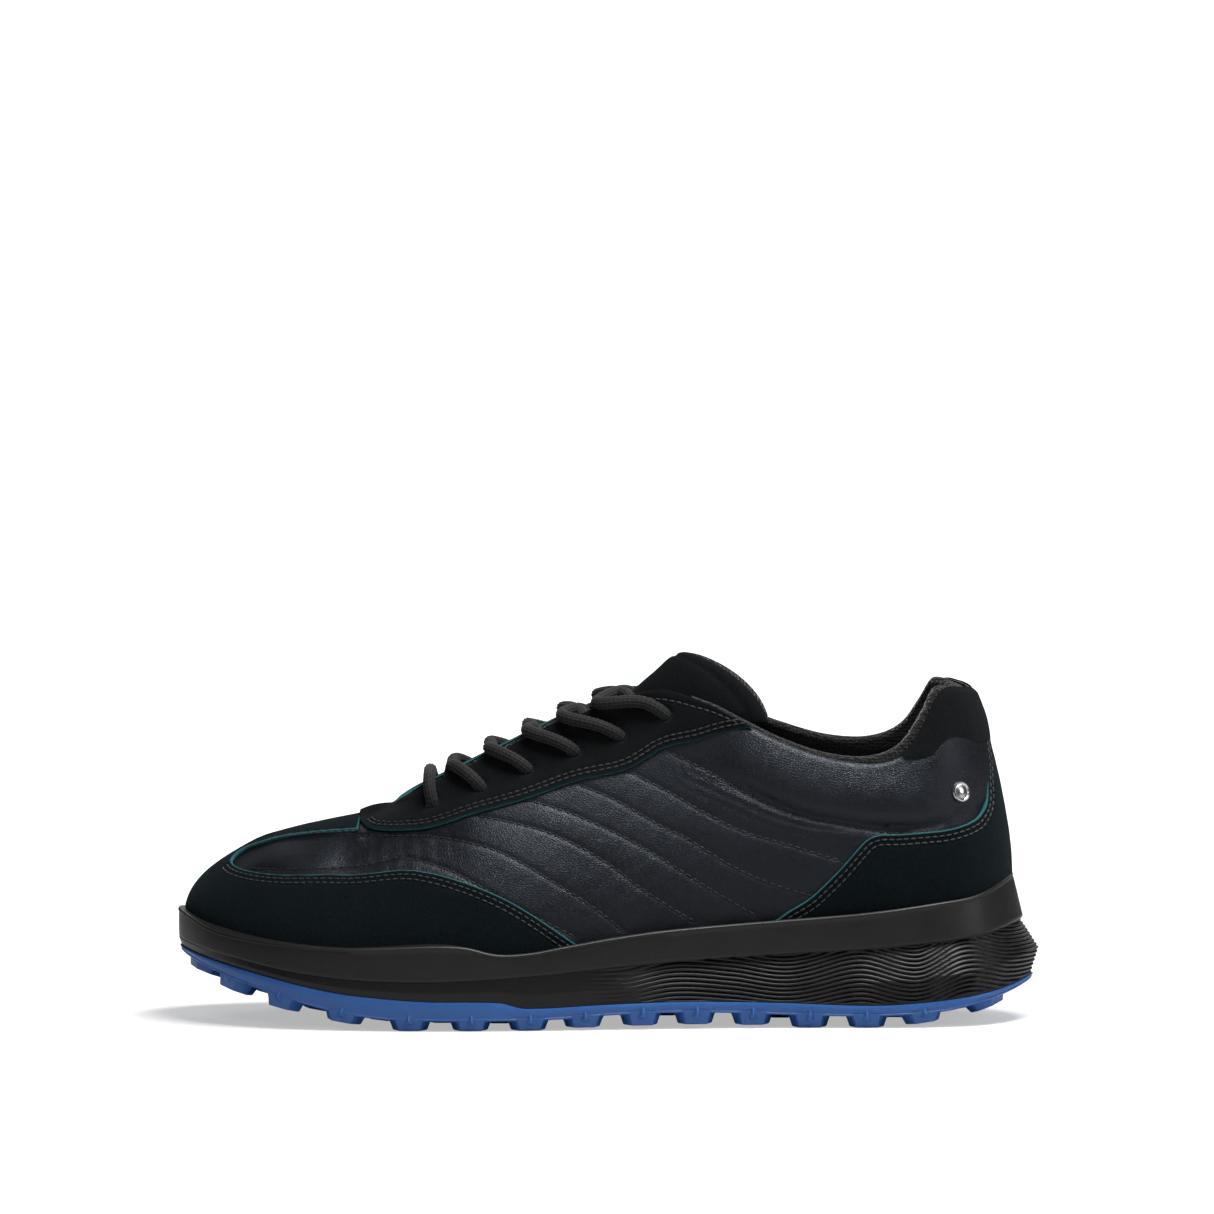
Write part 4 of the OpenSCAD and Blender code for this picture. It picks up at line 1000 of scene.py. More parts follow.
def build_toe_guard():
    seam = sewn(both_sides(WING_ROWS + STRIP_ROWS))
    parts = []
    for side in (-1, 1):
        outline = np.vstack([[(-6.4, -0.1), (0.001, -0.1), (0.001, 1.1), (-3.18, 1.1)],
                             STRIP_D[::-1], WING_D])
        cuts = [np.vstack([STRIP_D[::-1], WING_D]), np.array([(-3.18, 0.8), (-3.18, 1.0)])]
        for w_lo, w_hi, t_lo, t_hi in ((-6.3, -3.0, 0.03, 0.62), (-3.0, 0.0, 0.03, 1.0),
                                       (-3.3, -3.0, 0.76, 1.0)):
            w, t = grid(w_lo, w_hi, t_lo, t_hi, 0.85)
            f = signed(w, t, outline, cuts)
            if side > 0:
                w, t, f = -w[::-1], t[::-1], f[::-1]
            parts.append(cut_grid(w, t, f))
    obj = shell("suede_toe_guard", parts,
                lambda w, t, f: rounded(OVER_OUT, f) + seam(w, t) + 0.1 * soft_waves(skin(w, t)),
                OVER_IN, [SUEDE, EDGE])
    place(obj, "shoe", "suede_teal_black", "toe_guard")


def build_heel_overlay():
    seam = sewn(both_sides(HEEL_ROWS) + [np.array([(-12, .02), (-12, .03)])])
    w, t = grid(-16.1, -7.9, 0.03, 0.93, 0.85)
    outline = np.vstack([[(-16.3, -0.1)], HEEL_D[::-1], [(-7.7, -0.1)]])
    f = signed(w, t, outline, [HEEL_D])
    obj = shell("suede_heel_overlay", [cut_grid(w, t, f)],
                lambda w, t, f: rounded(OVER_OUT, f) + seam(past_heel(w), t)
                + 0.1 * soft_waves(skin(w, t)), OVER_IN, [SUEDE, EDGE])
    place(obj, "shoe", "suede_teal_black", "heel_overlay")


def build_lacing_panel():
    seam = sewn(both_sides(STAY_ROWS + [STAY_TOP]))
    holes = {s: on_skin([(s * e[0], e[1]) for e in EYELETS]) for s in (-1, 1)}
    outline = np.vstack([[(-3.16, 1.1)], STAY_D, [(-8.05, 1.1)]])
    facing = np.stack([np.linspace(-RIDGE_END, -8.05, 160), np.full(160, 1.0)], 1)
    parts = []
    for side in (-1, 1):
        w, t = grid(-8.1, -3.08, 0.69, 1.0, 0.62)
        f = signed(w, t, outline, [STAY_D])
        p = skin(-w, t) if side > 0 else skin(w, t)
        for hole in holes[side]:
            f = np.minimum(f, np.linalg.norm(p - hole, axis=-1) - EYELET_R)
        if side > 0:
            w, t, f = -w[::-1], t[::-1], f[::-1]
        parts.append(cut_grid(w, t, f))
    facings = [on_skin(facing), on_skin(flip(facing, 1))]
    every_hole = np.vstack([holes[-1], holes[1]])

    def face(w, t, f):
        p = skin(w, t)
        edge = np.minimum(f, distance_to(p, facings))
        hole = np.min(np.linalg.norm(p[:, None] - every_hole[None], axis=-1), axis=1) - EYELET_R
        pressed = -0.35 * np.exp(-((np.maximum(hole, 0) / 1.3) ** 2))
        peak = 1.6 * np.exp(-((np.abs(wrap(w)) - 3.35) / 0.28) ** 2) * smooth_step(t, 0.93, 1.0)
        return rounded(OVER_OUT, edge) + seam(w, t) + pressed + peak + 0.12 * soft_waves(p)

    obj = shell("nubuck_lacing_panel", parts, face, OVER_IN, [NUBUCK, EDGE])
    place(obj, "shoe", "nubuck_black", "eyestay")


def build_heel_tab():
    seam = sewn(both_sides(TAB_ROWS))
    w, t = grid(-14.05, -9.95, 0.74, 1.0, 0.8)
    outline = np.vstack([[(-9.9, 1.1)], TAB_D, [(-14.1, 1.1)]])
    f = signed(w, t, outline, [TAB_D])

    def face(w, t, f):
        pad = 1.3 * np.sin(math.pi * np.clip((t - 0.78) / 0.22, 0, 1) ** 0.8)
        roll = -1.3 * smooth_step(t, 0.965, 1.0) ** 2
        return (rounded(TAB_OUT, f) + seam(past_heel(w), t) + pad + roll
                + 0.1 * soft_waves(skin(w, t)))

    obj = shell("nubuck_heel_tab", [cut_grid(w, t, f)], face, TAB_IN, [NUBUCK])
    place(obj, "shoe", "nubuck_black", "heel_tab")


build_toe_guard()
build_heel_overlay()
build_lacing_panel()
build_heel_tab()


# ---- Collar lining ------------------------------------------------------------------------

COLLAR_LOW = curve([(0, 0.56), (1.5, 0.58), (2.5, 0.64), (3.5, 0.68), (4.75, 0.72)])
LIP_RISE = curve([(0, -0.6), (0.6, -0.4), (0.95, 0.4), (1.3, 2.6), (1.7, 3.4), (2.1, 2.6),
                  (2.6, 1.2), (3.4, 0.5), (4.75, 0.2)])


COLLAR_REACH, COLLAR_COLUMNS = 4.75, 300
COLLAR_PAD, COLLAR_ROLL = 5.2, 2.1
COLLAR_FULL = 0.8
COLLAR_TOP = 0.985


def build_collar_lining():
    """The padded lining: up the inside of the collar, and over its top in a soft roll."""
    reach, nw, roll_r = COLLAR_REACH, COLLAR_COLUMNS, COLLAR_ROLL
    ws = np.linspace(-12 - reach, -12 + reach, nw)
    far = np.abs(ws + 12)
    low, rise = COLLAR_LOW(far), LIP_RISE(far)
    rings = []
    for share in np.linspace(0, 1, 44):
        t = low + (COLLAR_TOP - low) * share
        bulge = COLLAR_PAD * math.sin(math.pi * min(share, COLLAR_FULL) ** 0.75)
        if share >= COLLAR_FULL:
            bulge += (2 * roll_r - 0.4 - bulge) * smooth_step(share, COLLAR_FULL, 1.0)
        rings.append(skin(ws, t, -1.6 - bulge * np.ones(nw)))
    edge = skin(ws, np.full(nw, COLLAR_TOP))
    n = skin_normal(ws, np.full(nw, COLLAR_TOP))
    up = unit(skin(ws, np.full(nw, 0.99)) - skin(ws, np.full(nw, 0.96)))
    lift = np.maximum(rise, -0.6)[:, None]
    middle = edge + n * (-1.5 - roll_r) + up * lift
    for a in np.linspace(0, math.pi, 15):
        rings.append(middle + n * (-roll_r * math.cos(a)) + up * (roll_r * math.sin(a)))
    rings.append(edge + n * -1.4 + up * (lift * 0.4 - 0.6))
    rings.append(edge + n * -1.45 - up * 3.0)
    rings += [skin(ws, low + (0.95 - low) * s, np.full(nw, -1.75)) for s in (0.6, 0.25, 0.0)]
    stack = np.array(rings)
    k = len(stack)
    points = stack.reshape(-1, 3)
    index = np.arange(k * nw).reshape(k, nw)
    nxt = np.roll(index, -1, axis=0)
    quads = np.stack([index[:, :-1], index[:, 1:], nxt[:, 1:], nxt[:, :-1]], -1).reshape(-1, 4)
    faces = [tuple(q) for q in quads.tolist()]
    faces += [tuple(index[:, 0].tolist()), tuple(index[::-1, -1].tolist())]
    obj = make_mesh("padded_collar_lining", points, faces, [LINING])
    outward_normals(obj)
    place(obj, "shoe", "lining_textile", "collar_lining", "collar_foam")


def outward_normals(obj):
    bm = bmesh.new()
    bm.from_mesh(obj.data)
    bmesh.ops.recalc_face_normals(bm, faces=bm.faces)
    bm.to_mesh(obj.data)
    bm.free()


build_collar_lining()


# ---- Sole ---------------------------------------------------------------------------------

RIM_OUT = curve([(0, 6.8), (2, 7), (4, 7), (8, 7), (10, 6.6), (11, 6), (12, 5.2)])
BAND_OUT = curve([(0, 6.8), (2, 7.4), (4, 7.4), (8, 7.6), (10, 7.6), (11, 8.2), (12, 9)])
FLARE_OUT = curve([(0, 6.4), (2, 6.6), (4, 6.6), (8, 7), (9, 7.6), (10, 8.8), (11, 11.6),
                   (12, 14.1)])
SPLIT_OUT = curve([(0, 5.8), (2, 6.2), (4, 6.2), (8, 6.6), (9, 7), (10, 7.6), (11, 9.6),
                   (12, 12)])
RIM_T = curve([(0, 0.27), (1, 0.23), (2, 0.215), (3, 0.2), (4, 0.215), (4.4, 0.2),
               (5, 0.145), (6, 0.145), (8, 0.14), (9, 0.155), (10, 0.19), (11, 0.215),
               (12, 0.28)])
WAVE = curve([(5.6, 0.6), (6.4, -0.6), (7.07, 1.6), (7.8, 0.2), (8.53, -2.0), (9.42, 2.3),
              (10.12, -1.8), (10.72, 2.4), (11.25, -2.2), (11.65, -4.4), (12, -5.2)])
RIDGE_PITCH = 1.56
WAVE_DEPTH = 0.95
WALL_WAIST = 0.42
SOLE_COLUMNS, WALL_RINGS = 820, 88
PLATE_COLUMNS, FOOTBED_COLUMNS = 560, 360


def sole_columns(n):
    """n places round the sole, evenly spaced along its edge, an even number from the heel."""
    probe = np.linspace(-12, 12, 2401)
    f = feather(probe)
    walk = np.append(0, np.cumsum(np.linalg.norm(np.diff(f, axis=0), axis=1)))
    half = np.interp(np.linspace(0, np.interp(0.0, probe, walk), n // 2 + 1), walk, probe)
    return np.concatenate([half[:-1], -half[:0:-1]])


def plan(ws, out, z):
    """A ring out millimetres outside the feather line, at a height that depends on its x."""
    f, n = feather(ws), outward(ws)
    p = f + n * np.broadcast_to(out, ws.shape)[:, None]
    return np.concatenate([p, np.broadcast_to(z(p[:, 0]), ws.shape)[:, None]], -1)


def ring_faces(k, n):
    """Faces of k rings of n points each, with a lid across the first and the last."""
    index = np.arange(k * n).reshape(k, n)
    a, b = index[:-1], np.roll(index, -1, 1)[:-1]
    c, d = np.roll(index, -1, 1)[1:], index[1:]
    faces = np.stack([a, b, c, d], -1).reshape(-1, 4).tolist()
    lid = [[i, i + 1, n - i - 1, n - i] for i in range(1, n // 2 - 1)]
    lid += [[0, 1, n - 1], [n // 2 - 1, n // 2, n // 2 + 1]]
    top = (k - 1) * n
    return ([tuple(f) for f in faces] + [tuple(reversed(f)) for f in lid]
            + [tuple(i + top for i in f) for f in lid])


def build_midsole():
    ws = sole_columns(SOLE_COLUMNS)
    s = np.abs(wrap(ws))
    split, flare, band, rim = SPLIT_OUT(s), FLARE_OUT(s), BAND_OUT(s), RIM_OUT(s)
    step = 1.1 * smooth_step(s, 0.5, 2.2)
    # One mask picks the band's rings, painted a lighter black as painted light; the other darkens
    # the wave grooves as painted shade.
    rows, lit_band_mask, groove_shade_mask = [], [], []

    def keep(points, is_band, groove=None):
        rows.append(points)
        lit_band_mask.append(np.full(len(ws), float(is_band)))
        groove_shade_mask.append(np.zeros(len(ws)) if groove is None else groove)

    keep(plan(ws, split - 3.6, lambda x: tread_z(x) + 3.0), 0)
    keep(plan(ws, split - 0.3, split_z), 0)
    for v in np.linspace(0, 1, WALL_RINGS):
        z = lambda x, v=v: split_z(x) * (1 - v) + (band_z(x) - 0.5) * v
        # From the split out to the waist of the wall, then in under the band
        bulge = (split * (1 - v / WALL_WAIST) + flare * (v / WALL_WAIST) if v < WALL_WAIST else
                 flare + (band - step - flare) * ((v - WALL_WAIST) / (1 - WALL_WAIST)))
        soft = 0.55 * math.sin(math.pi * v)
        out = bulge + soft * smooth_step(s, 9.0, 11.0)
        p = plan(ws, out, z)
        height = p[:, 2] - split_z(p[:, 0])
        tall = band_z(p[:, 0]) - split_z(p[:, 0])
        flow = WAVE(s) * (0.95 + 0.45 * np.clip(height / np.maximum(tall, 1), 0, 1))
        phase = (height - flow - 0.35 * tall) / RIDGE_PITCH
        ridge = np.abs(np.sin(math.pi * phase)) ** 0.75
        strength = smooth_step(s, 5.9, 7.4) * smooth_step(v, 0.0, 0.05) * (
            1 - smooth_step(v, 0.965, 1.0))
        cut = (ridge - 1) * WAVE_DEPTH * strength
        # The last value is painted shade, darkest down in each wave groove.
        keep(plan(ws, out + cut, z), 0, (1 - ridge) ** 2 * strength)
    for lift, inset in ((-0.45, 0.35), (-0.15, 0.05), (0.35, 0.0)):
        keep(plan(ws, band - inset, lambda x, d=lift: band_z(x) + d), 1)
    for u in np.linspace(0.1, 0.86, 9):
        z = lambda x, u=u: band_z(x) * (1 - u) + rim_z(x) * u
        hollow = -0.35 * math.sin(math.pi * u)
        keep(plan(ws, band + (rim - band) * u + 0.45 * math.sin(math.pi * u) + hollow, z), 1)
    # The soft bead along the top of the band
    for a in np.linspace(-0.35, math.pi * 0.62, 9):
        r = 1.15
        keep(plan(ws, rim - r * 0.7 + r * math.cos(a),
                  lambda x, a=a: rim_z(x) - 1.0 + 1.0 * math.sin(a)), 1)
    t_rim = RIM_T(s)
    keep(skin(ws, t_rim + 0.004, np.full(len(ws), 1.5)) + (0, 0, -0.6), 1)
    keep(skin(ws, t_rim - 0.02, np.full(len(ws), 0.6)), 0)
    keep(skin(ws, t_rim * 0.5, np.full(len(ws), 0.3)), 0)
    keep(skin(ws, np.full(len(ws), 0.02), np.full(len(ws), 0.3)), 0)
    keep(plan(ws, 0.2, lambda x: feather_z(x) - 2.2), 0)
    stack = np.array(rows)
    points = stack.reshape(-1, 3)
    faces = ring_faces(len(stack), len(ws))
    # The band attribute drives the band's painted light, and the groove attribute the painted shade
    # in the grooves.
    obj = make_mesh("moulded_midsole", points, faces, [BAND], attributes={
        "band": np.concatenate(lit_band_mask), "groove": np.concatenate(groove_shade_mask)}, sharp=50)
    place(obj, "shoe", "midsole_black", "midsole")


def build_outsole_plate():
    ws = sole_columns(PLATE_COLUMNS)
    s = np.abs(wrap(ws))
    split = SPLIT_OUT(s)
    rings = [plan(ws, split - 4.5, lambda x: tread_z(x) + 2.8),
             plan(ws, split - 1.2, lambda x: split_z(x) - 0.6),
             plan(ws, split - 0.2, lambda x: split_z(x) - 0.15)]
    for u in np.linspace(0.0, 1.0, 8):
        rings.append(plan(ws, split + 0.25 + 0.35 * math.sin(math.pi * (u + 0.15)),
                          lambda x, u=u: (split_z(x) - 0.35) * (1 - u) + (tread_z(x) + 0.9) * u))
    for a in np.linspace(0.3, math.pi / 2, 5):
        rings.append(plan(ws, split - 0.6 + 0.9 * math.cos(a),
                          lambda x, a=a: tread_z(x) + 0.9 - 0.9 * math.sin(a)))
    rings.append(plan(ws, split - 6, tread_z))
    stack = np.array(rings)[::-1]
    faces = ring_faces(len(stack), len(ws))
    obj = make_mesh("outsole_plate", stack.reshape(-1, 3), faces, [BLUE], sharp=45)
    place(obj, "shoe", "outsole_blue", "outsole")


build_midsole()
build_outsole_plate()


# ---- What repeats: lugs and stitches ------------------------------------------------------


def geometry_tree(name, inputs):
    """A tree with its input sockets' identifiers, its two end nodes and its points."""
    tree = bpy.data.node_groups.new(name, "GeometryNodeTree")
    tree.interface.new_socket(name="Geometry", in_out="INPUT", socket_type="NodeSocketGeometry")
    ids = {}
    for key, kind in inputs:
        ids[key] = tree.interface.new_socket(name=key, in_out="INPUT", socket_type=kind).identifier
    tree.interface.new_socket(name="Geometry", in_out="OUTPUT", socket_type="NodeSocketGeometry")
    into, out = add(tree, "NodeGroupInput"), add(tree, "NodeGroupOutput")
    spots = add(tree, "GeometryNodeMeshToPoints", {"Mesh": into.outputs["Geometry"]})
    return tree, ids, into.outputs, out, spots.outputs["Points"]


def set_out(tree, material, out, instances):
    real = add(tree, "GeometryNodeRealizeInstances", {"Geometry": instances})
    paint = add(tree, "GeometryNodeSetMaterial", {"Geometry": real.outputs["Geometry"],
                                                  "Material": material})
    tree.links.new(paint.outputs["Geometry"], out.inputs["Geometry"])


def named(tree, name):
    return add(tree, "GeometryNodeInputNamedAttribute", {"Name": name},
               data_type="FLOAT_VECTOR").outputs["Attribute"]


def lug_tree():
    """Stands a lug at each point, turned and sized by the point's own turn and size."""
    tree, ids, into, out, spots = geometry_tree(
        "sole_lugs", [("Lug", "NodeSocketObject"), ("Material", "NodeSocketMaterial")])
    info = add(tree, "GeometryNodeObjectInfo", {"Object": into["Lug"]})
    turn = add(tree, "FunctionNodeEulerToRotation", {"Euler": named(tree, "turn")})
    stand = add(tree, "GeometryNodeInstanceOnPoints", {
        "Points": spots, "Instance": info.outputs["Geometry"],
        "Rotation": turn.outputs["Rotation"], "Scale": named(tree, "size")})
    set_out(tree, into["Material"], out, stand.outputs["Instances"])
    return tree, ids


def stitch_tree():
    """Lays one raised stitch of thread at each point, along its row and proud of its skin."""
    tree, ids, into, out, spots = geometry_tree("seam_stitches", [
        ("Stitch Length", FLOAT), ("Thread Width", FLOAT), ("Material", "NodeSocketMaterial")])
    bead = add(tree, "GeometryNodeMeshUVSphere", {"Segments": 8, "Rings": 6, "Radius": 0.5})
    size = add(tree, "ShaderNodeCombineXYZ", {
        "X": into["Stitch Length"], "Y": into["Thread Width"], "Z": into["Thread Width"]})
    first = add(tree, "FunctionNodeAlignRotationToVector", {"Vector": named(tree, "along")},
                axis="X")
    second = add(tree, "FunctionNodeAlignRotationToVector", {
        "Rotation": first.outputs["Rotation"], "Vector": named(tree, "skyward")},
                 axis="Z", pivot_axis="X")
    stitch = add(tree, "GeometryNodeInstanceOnPoints", {
        "Points": spots, "Instance": bead.outputs["Mesh"],
        "Rotation": second.outputs["Rotation"], "Scale": size.outputs["Vector"]})
    set_out(tree, into["Material"], out, stitch.outputs["Instances"])
    return tree, ids


def laid_out(name, points, vectors, tree, ids, values, sharp=40):
    """The mesh that a tree lays out at points that carry vectors."""
    mesh = bpy.data.meshes.new(name + "_points")
    mesh.from_pydata([tuple(p) for p in np.asarray(points) * MM], [], [])
    for key, rows in vectors.items():
        mesh.attributes.new(key, "FLOAT_VECTOR", "POINT").data.foreach_set(
            "vector", np.asarray(rows, np.float32).ravel())
    maker = linked(name + "_maker", mesh)
    layer = maker.modifiers.new("layout", "NODES")
    layer.node_group = tree
    for key, value in values.items():
        layer[ids[key]] = value
    bpy.context.view_layer.update()
    shown = maker.evaluated_get(bpy.context.evaluated_depsgraph_get())
    result = bpy.data.meshes.new_from_object(shown)
    result.name = name
    bpy.data.objects.remove(maker)
    return shaded(name, result, sharp)


SEAM_STITCH, SEAM_PITCH = (2.15, 0.62), 2.5
QUILT_STITCH, QUILT_PITCH = (2.1, 0.55), 2.75
EDGE_LUG, MIDDLE_LUG = (15.0, 12.2), (11.8, 9.2)
EDGE_LUG_IN = 6.1
PAIR_APART = 17
LUG_X = [-141, -130, -113, -92, -69, -48, -28, -9, 11, 30, 50, 70, 90, 109, 129, 142]
MIDDLE_X = [-120, -91, -69, -48, -18, 20, 60, 100, 122]
PAIR_X = [-102, -80, -58, -38]


def lug_shape():
    """One lug, 1 long, 1 wide and 1 tall: six-sided, drawn in towards its foot, with a small
    rib up the middle of its outer face."""
    levels = [(0.0, 0.76), (0.07, 0.82), (0.55, 0.93), (1.0, 1.08)]
    plan_points = [(-0.5, 0), (-0.3, -0.5), (0.3, -0.5), (0.5, 0), (0.3, 0.5), (-0.3, 0.5)]
    verts, faces = [], []
    for z, scale in levels:
        verts += [(x * scale, y * scale, z) for x, y in plan_points]
    for k in range(len(levels) - 1):
        for i in range(6):
            j = (i + 1) % 6
            faces.append((6 * k + i, 6 * k + j, 6 * k + 6 + j, 6 * k + 6 + i))
    faces += [(5, 4, 3, 2, 1, 0), tuple(range(18, 24))]
    for side in (-1, 1):
        base = len(verts)
        verts += [(-0.12, side * 0.44, 0.5), (0.12, side * 0.44, 0.5), (0, side * 0.40, 0.3),
                  (0, side * 0.66, 0.8), (-0.1, side * 0.46, 1.3), (0.1, side * 0.46, 1.3),
                  (0, side * 0.54, 1.34)]
        rib = [(0, 2, 3), (2, 1, 3), (0, 3, 6, 4), (3, 1, 5, 6), (4, 6, 5), (0, 4, 5, 1),
               (0, 1, 2)]
        faces += [tuple(base + i for i in (f if side < 0 else f[::-1])) for f in rib]
    mesh = bpy.data.meshes.new("lug_pattern")
    mesh.from_pydata(verts, [], faces)
    lug = linked("lug_pattern", mesh)
    outward_normals(lug)
    edge = lug.modifiers.new("edge", "BEVEL")
    edge.width, edge.segments, edge.limit_method = 0.03, 2, "ANGLE"
    return lug


def edge_place(x, side):
    """Where along the trip the feather line of one side passes a length x."""
    lo, hi = 0.0, 12.0
    for _ in range(16):
        mid = (lo + hi) / 2
        lo, hi = (mid, hi) if feather(np.array(side * mid))[0] < x else (lo, mid)
    return side * lo


def build_lugs():
    spots, turns, sizes = [], [], []

    def stand(x, y, heading, length, width):
        foot = max(0.0, float(lug_foot_z(x)))
        slope = math.atan((max(0, float(lug_foot_z(x + 4))) - max(0, float(lug_foot_z(x - 4)))) / 8)
        slope = 0.0 if abs(slope) < math.radians(5) else slope
        turn = Matrix.Rotation(-slope, 4, "Y") @ Matrix.Rotation(heading, 4, "Z")
        spots.append((x, y, foot))
        turns.append(tuple(turn.to_euler()))
        sizes.append((length * MM, width * MM, (float(tread_z(x)) - foot + 1.0) * MM))

    for x in LUG_X:
        for side in (-1, 1):
            w = np.array(edge_place(x, side))
            f, n = feather(w), outward(w)
            reach = float(SPLIT_OUT(abs(w))) - EDGE_LUG_IN
            stand(f[0] + n[0] * reach, f[1] + n[1] * reach,
                  math.atan2(n[1], n[0]) + math.pi / 2, *EDGE_LUG)
    for x in PAIR_X + MIDDLE_X:
        mid = (feather(np.array(edge_place(x, -1)))[1] + feather(np.array(edge_place(x, 1)))[1]) / 2
        for across in ((-PAIR_APART, PAIR_APART) if x in PAIR_X else (0,)):
            stand(x, mid + across, 0.0, *MIDDLE_LUG)
    pattern = lug_shape()
    obj = laid_out("outsole_lugs", spots, {"turn": turns, "size": sizes}, *lug_tree(),
                   {"Lug": pattern, "Material": BLUE}, sharp=30)
    bpy.data.objects.remove(pattern)
    place(obj, "shoe", "outsole_blue")


def stitch_row(line, pitch, off):
    """Places, directions and normals of the stitches along a pattern line."""
    p = np.asarray(line, float)
    q = on_skin(p)
    walk = np.append(0, np.cumsum(np.linalg.norm(np.diff(q, axis=0), axis=1)))
    n = max(2, int(walk[-1] / pitch))
    s = (np.arange(n) + 0.5) * walk[-1] / n
    w, t = np.interp(s, walk, p[:, 0]), np.interp(s, walk, p[:, 1])
    w2, t2 = np.interp(s + 0.2, walk, p[:, 0]), np.interp(s + 0.2, walk, p[:, 1])
    w1, t1 = np.interp(s - 0.2, walk, p[:, 0]), np.interp(s - 0.2, walk, p[:, 1])
    high = off(w, t) if callable(off) else np.full(n, off)
    return skin(w, t, high), unit(skin(w2, t2) - skin(w1, t1)), skin_normal(w, t)


def build_stitches():
    tree, ids = stitch_tree()

    def lay(name, rows, slot_name, yarn=THREAD, size=SEAM_STITCH):
        points, along, up = (np.vstack(c) for c in zip(*rows))
        obj = laid_out(name, points, {"along": along, "skyward": up}, tree, ids, {
            "Stitch Length": size[0] * MM, "Thread Width": size[1] * MM, "Material": yarn})
        place(obj, "shoe", slot_name)

    faces = {s: quarter_face(s) for s in (-1, 1)}
    lay("quarter_stitches", [
        stitch_row(dense(flip(r, s), 12), QUILT_PITCH,
                   lambda w, t, s=s: faces[s](w, t, None) + 0.16)
        for r in QUILT_ROWS for s in (-1, 1)], "smooth_leather", QUILT_THREAD, QUILT_STITCH)
    for name, rows, slot_name in (
            ("toe_guard_stitches", WING_ROWS + STRIP_ROWS, "suede_teal_black"),
            ("heel_stitches", HEEL_ROWS, "suede_teal_black"),
            ("lacing_panel_stitches", STAY_ROWS + [STAY_TOP], "nubuck_black")):
        lay(name, [stitch_row(r, SEAM_PITCH, OVER_OUT - 0.08) for r in both_sides(rows)],
            slot_name)


build_lugs()
build_stitches()


# ---- Tongue -------------------------------------------------------------------------------

TONGUE = curve([
    (0, (-86, 2.5, 59, 11, 3, 0)), (0.2, (-62, 2.5, 73.5, 19, 12, 2)),
    (0.45, (-31, 2.5, 91.2, 18, 19, 4)), (0.7, (-2, 1.8, 105.6, 15.5, 24, 8)),
    (0.86, (14, 0.8, 119.5, 16, 25, 18)), (1, (26, 0.5, 130.4, 18, 25, 31))])
TONGUE_ARC = math.radians(80)


def tongue_at(across, along):
    r = TONGUE(along)
    bend = TONGUE_ARC * across
    fall = (1 - np.cos(bend)) / (1 - math.cos(TONGUE_ARC))
    out = np.sin(bend) / math.sin(TONGUE_ARC)
    return np.stack([r[..., 0] + r[..., 5] * np.abs(out) ** 1.5, r[..., 1] + r[..., 3] * out,
                     r[..., 2] - r[..., 4] * fall], -1)


def tongue_point(across, along, depth):
    e = 0.01
    u = tongue_at(across + e, along) - tongue_at(across - e, along)
    v = tongue_at(across, np.minimum(along + e, 1)) - tongue_at(across, np.maximum(along - e, 0))
    return tongue_at(across, along) - unit(np.cross(v, u)) * np.asarray(depth)[..., None]


def pillow(name, material, rows, cols, outer, inner, slot_name, *nodes):
    """A closed pad between two depths of the tongue, rolled shut round its edges."""
    a, b = np.meshgrid(np.linspace(-1, 1, cols), np.linspace(0.008, 0.992, rows), indexing="ij")
    top, low = tongue_point(a, b, outer(a, b)), tongue_point(a, b, inner(a, b))
    index = np.arange(cols * rows).reshape(cols, rows)
    n = cols * rows
    q = np.stack([index[:-1, :-1], index[1:, :-1], index[1:, 1:], index[:-1, 1:]], -1)
    faces = q.reshape(-1, 4).tolist()
    faces += [[i + n for i in reversed(f)] for f in list(faces)]
    ring = np.concatenate([index[:-1, 0], index[-1, :-1], index[:0:-1, -1], index[0, :0:-1]])
    for i, p in enumerate(ring):
        r = ring[(i + 1) % len(ring)]
        faces.append([int(r), int(p), int(p) + n, int(r) + n])
    obj = make_mesh(name, np.vstack([top.reshape(-1, 3), low.reshape(-1, 3)]),
                    [tuple(f) for f in faces], [material],
                    attributes={"edge_mm": np.full(2 * n, 5.0)}, sharp=60)
    outward_normals(obj)
    place(obj, "tongue", slot_name, *nodes)


def edge_share(a, b):
    """0 at the tongue's edges, 1 well inside them."""
    side = (1 - np.abs(a)) / 0.28
    end = np.minimum(b / 0.06, (0.992 - b) / 0.07)
    return np.clip(np.minimum(side, end), 0, 1)


def build_tongue():
    def crown(a, b):
        e = edge_share(a, b)
        roll = np.sqrt(np.clip(1 - (1 - e) ** 2, 0, 1))
        seam = -0.55 * np.exp(-(((e - 0.42) / 0.09) ** 2)) * (b > 0.8)
        soft = 0.35 * np.sin(b * 37 + a * 3) * np.sin(a * 4.2 + b * 5) * e
        top_pad = 0.5 * smooth_step(b, 0.72, 0.9) * e * (1 - a * a)
        return roll, seam, soft, top_pad

    def front(a, b):
        roll, seam, soft, top_pad = crown(a, b)
        return 2.6 * (1 - roll) - seam - 0.5 * soft * (b > 0.8) - top_pad * 0.6

    def back(a, b):
        roll, _, soft, _ = crown(a, b)
        return 3.3 + 3.6 * roll + 0.6 * soft

    pillow("padded_tongue_face", NUBUCK, 150, 90, front,
           lambda a, b: np.full(a.shape, 3.1), "nubuck_black", "tongue_face", "tongue_foam")
    pillow("padded_tongue_lining", LINING, 110, 60, lambda a, b: np.full(a.shape, 3.0), back,
           "lining_textile", "tongue_lining")


build_tongue()


# ---- Lace ---------------------------------------------------------------------------------

LACE_R = 2.25
LACE_HALF = 2.2
OVER = OVER_OUT + LACE_HALF + 0.25
UNDER = LEATHER_BACK - 0.3 - LACE_HALF - 0.5
SOFTEN_ROUNDS = 14
RING_GAP, RING_POINTS = 0.42, 48
STRANDS = 12
STITCH_ALONG, STITCH_LEAN = 1.55, 0.55
BRAID_DEPTH = 0.42


def lean(k):
    return 0.14 + 0.12 * k


def one(w, t, off):
    return skin(np.array([w]), np.array([t]), np.array([off]))[0]


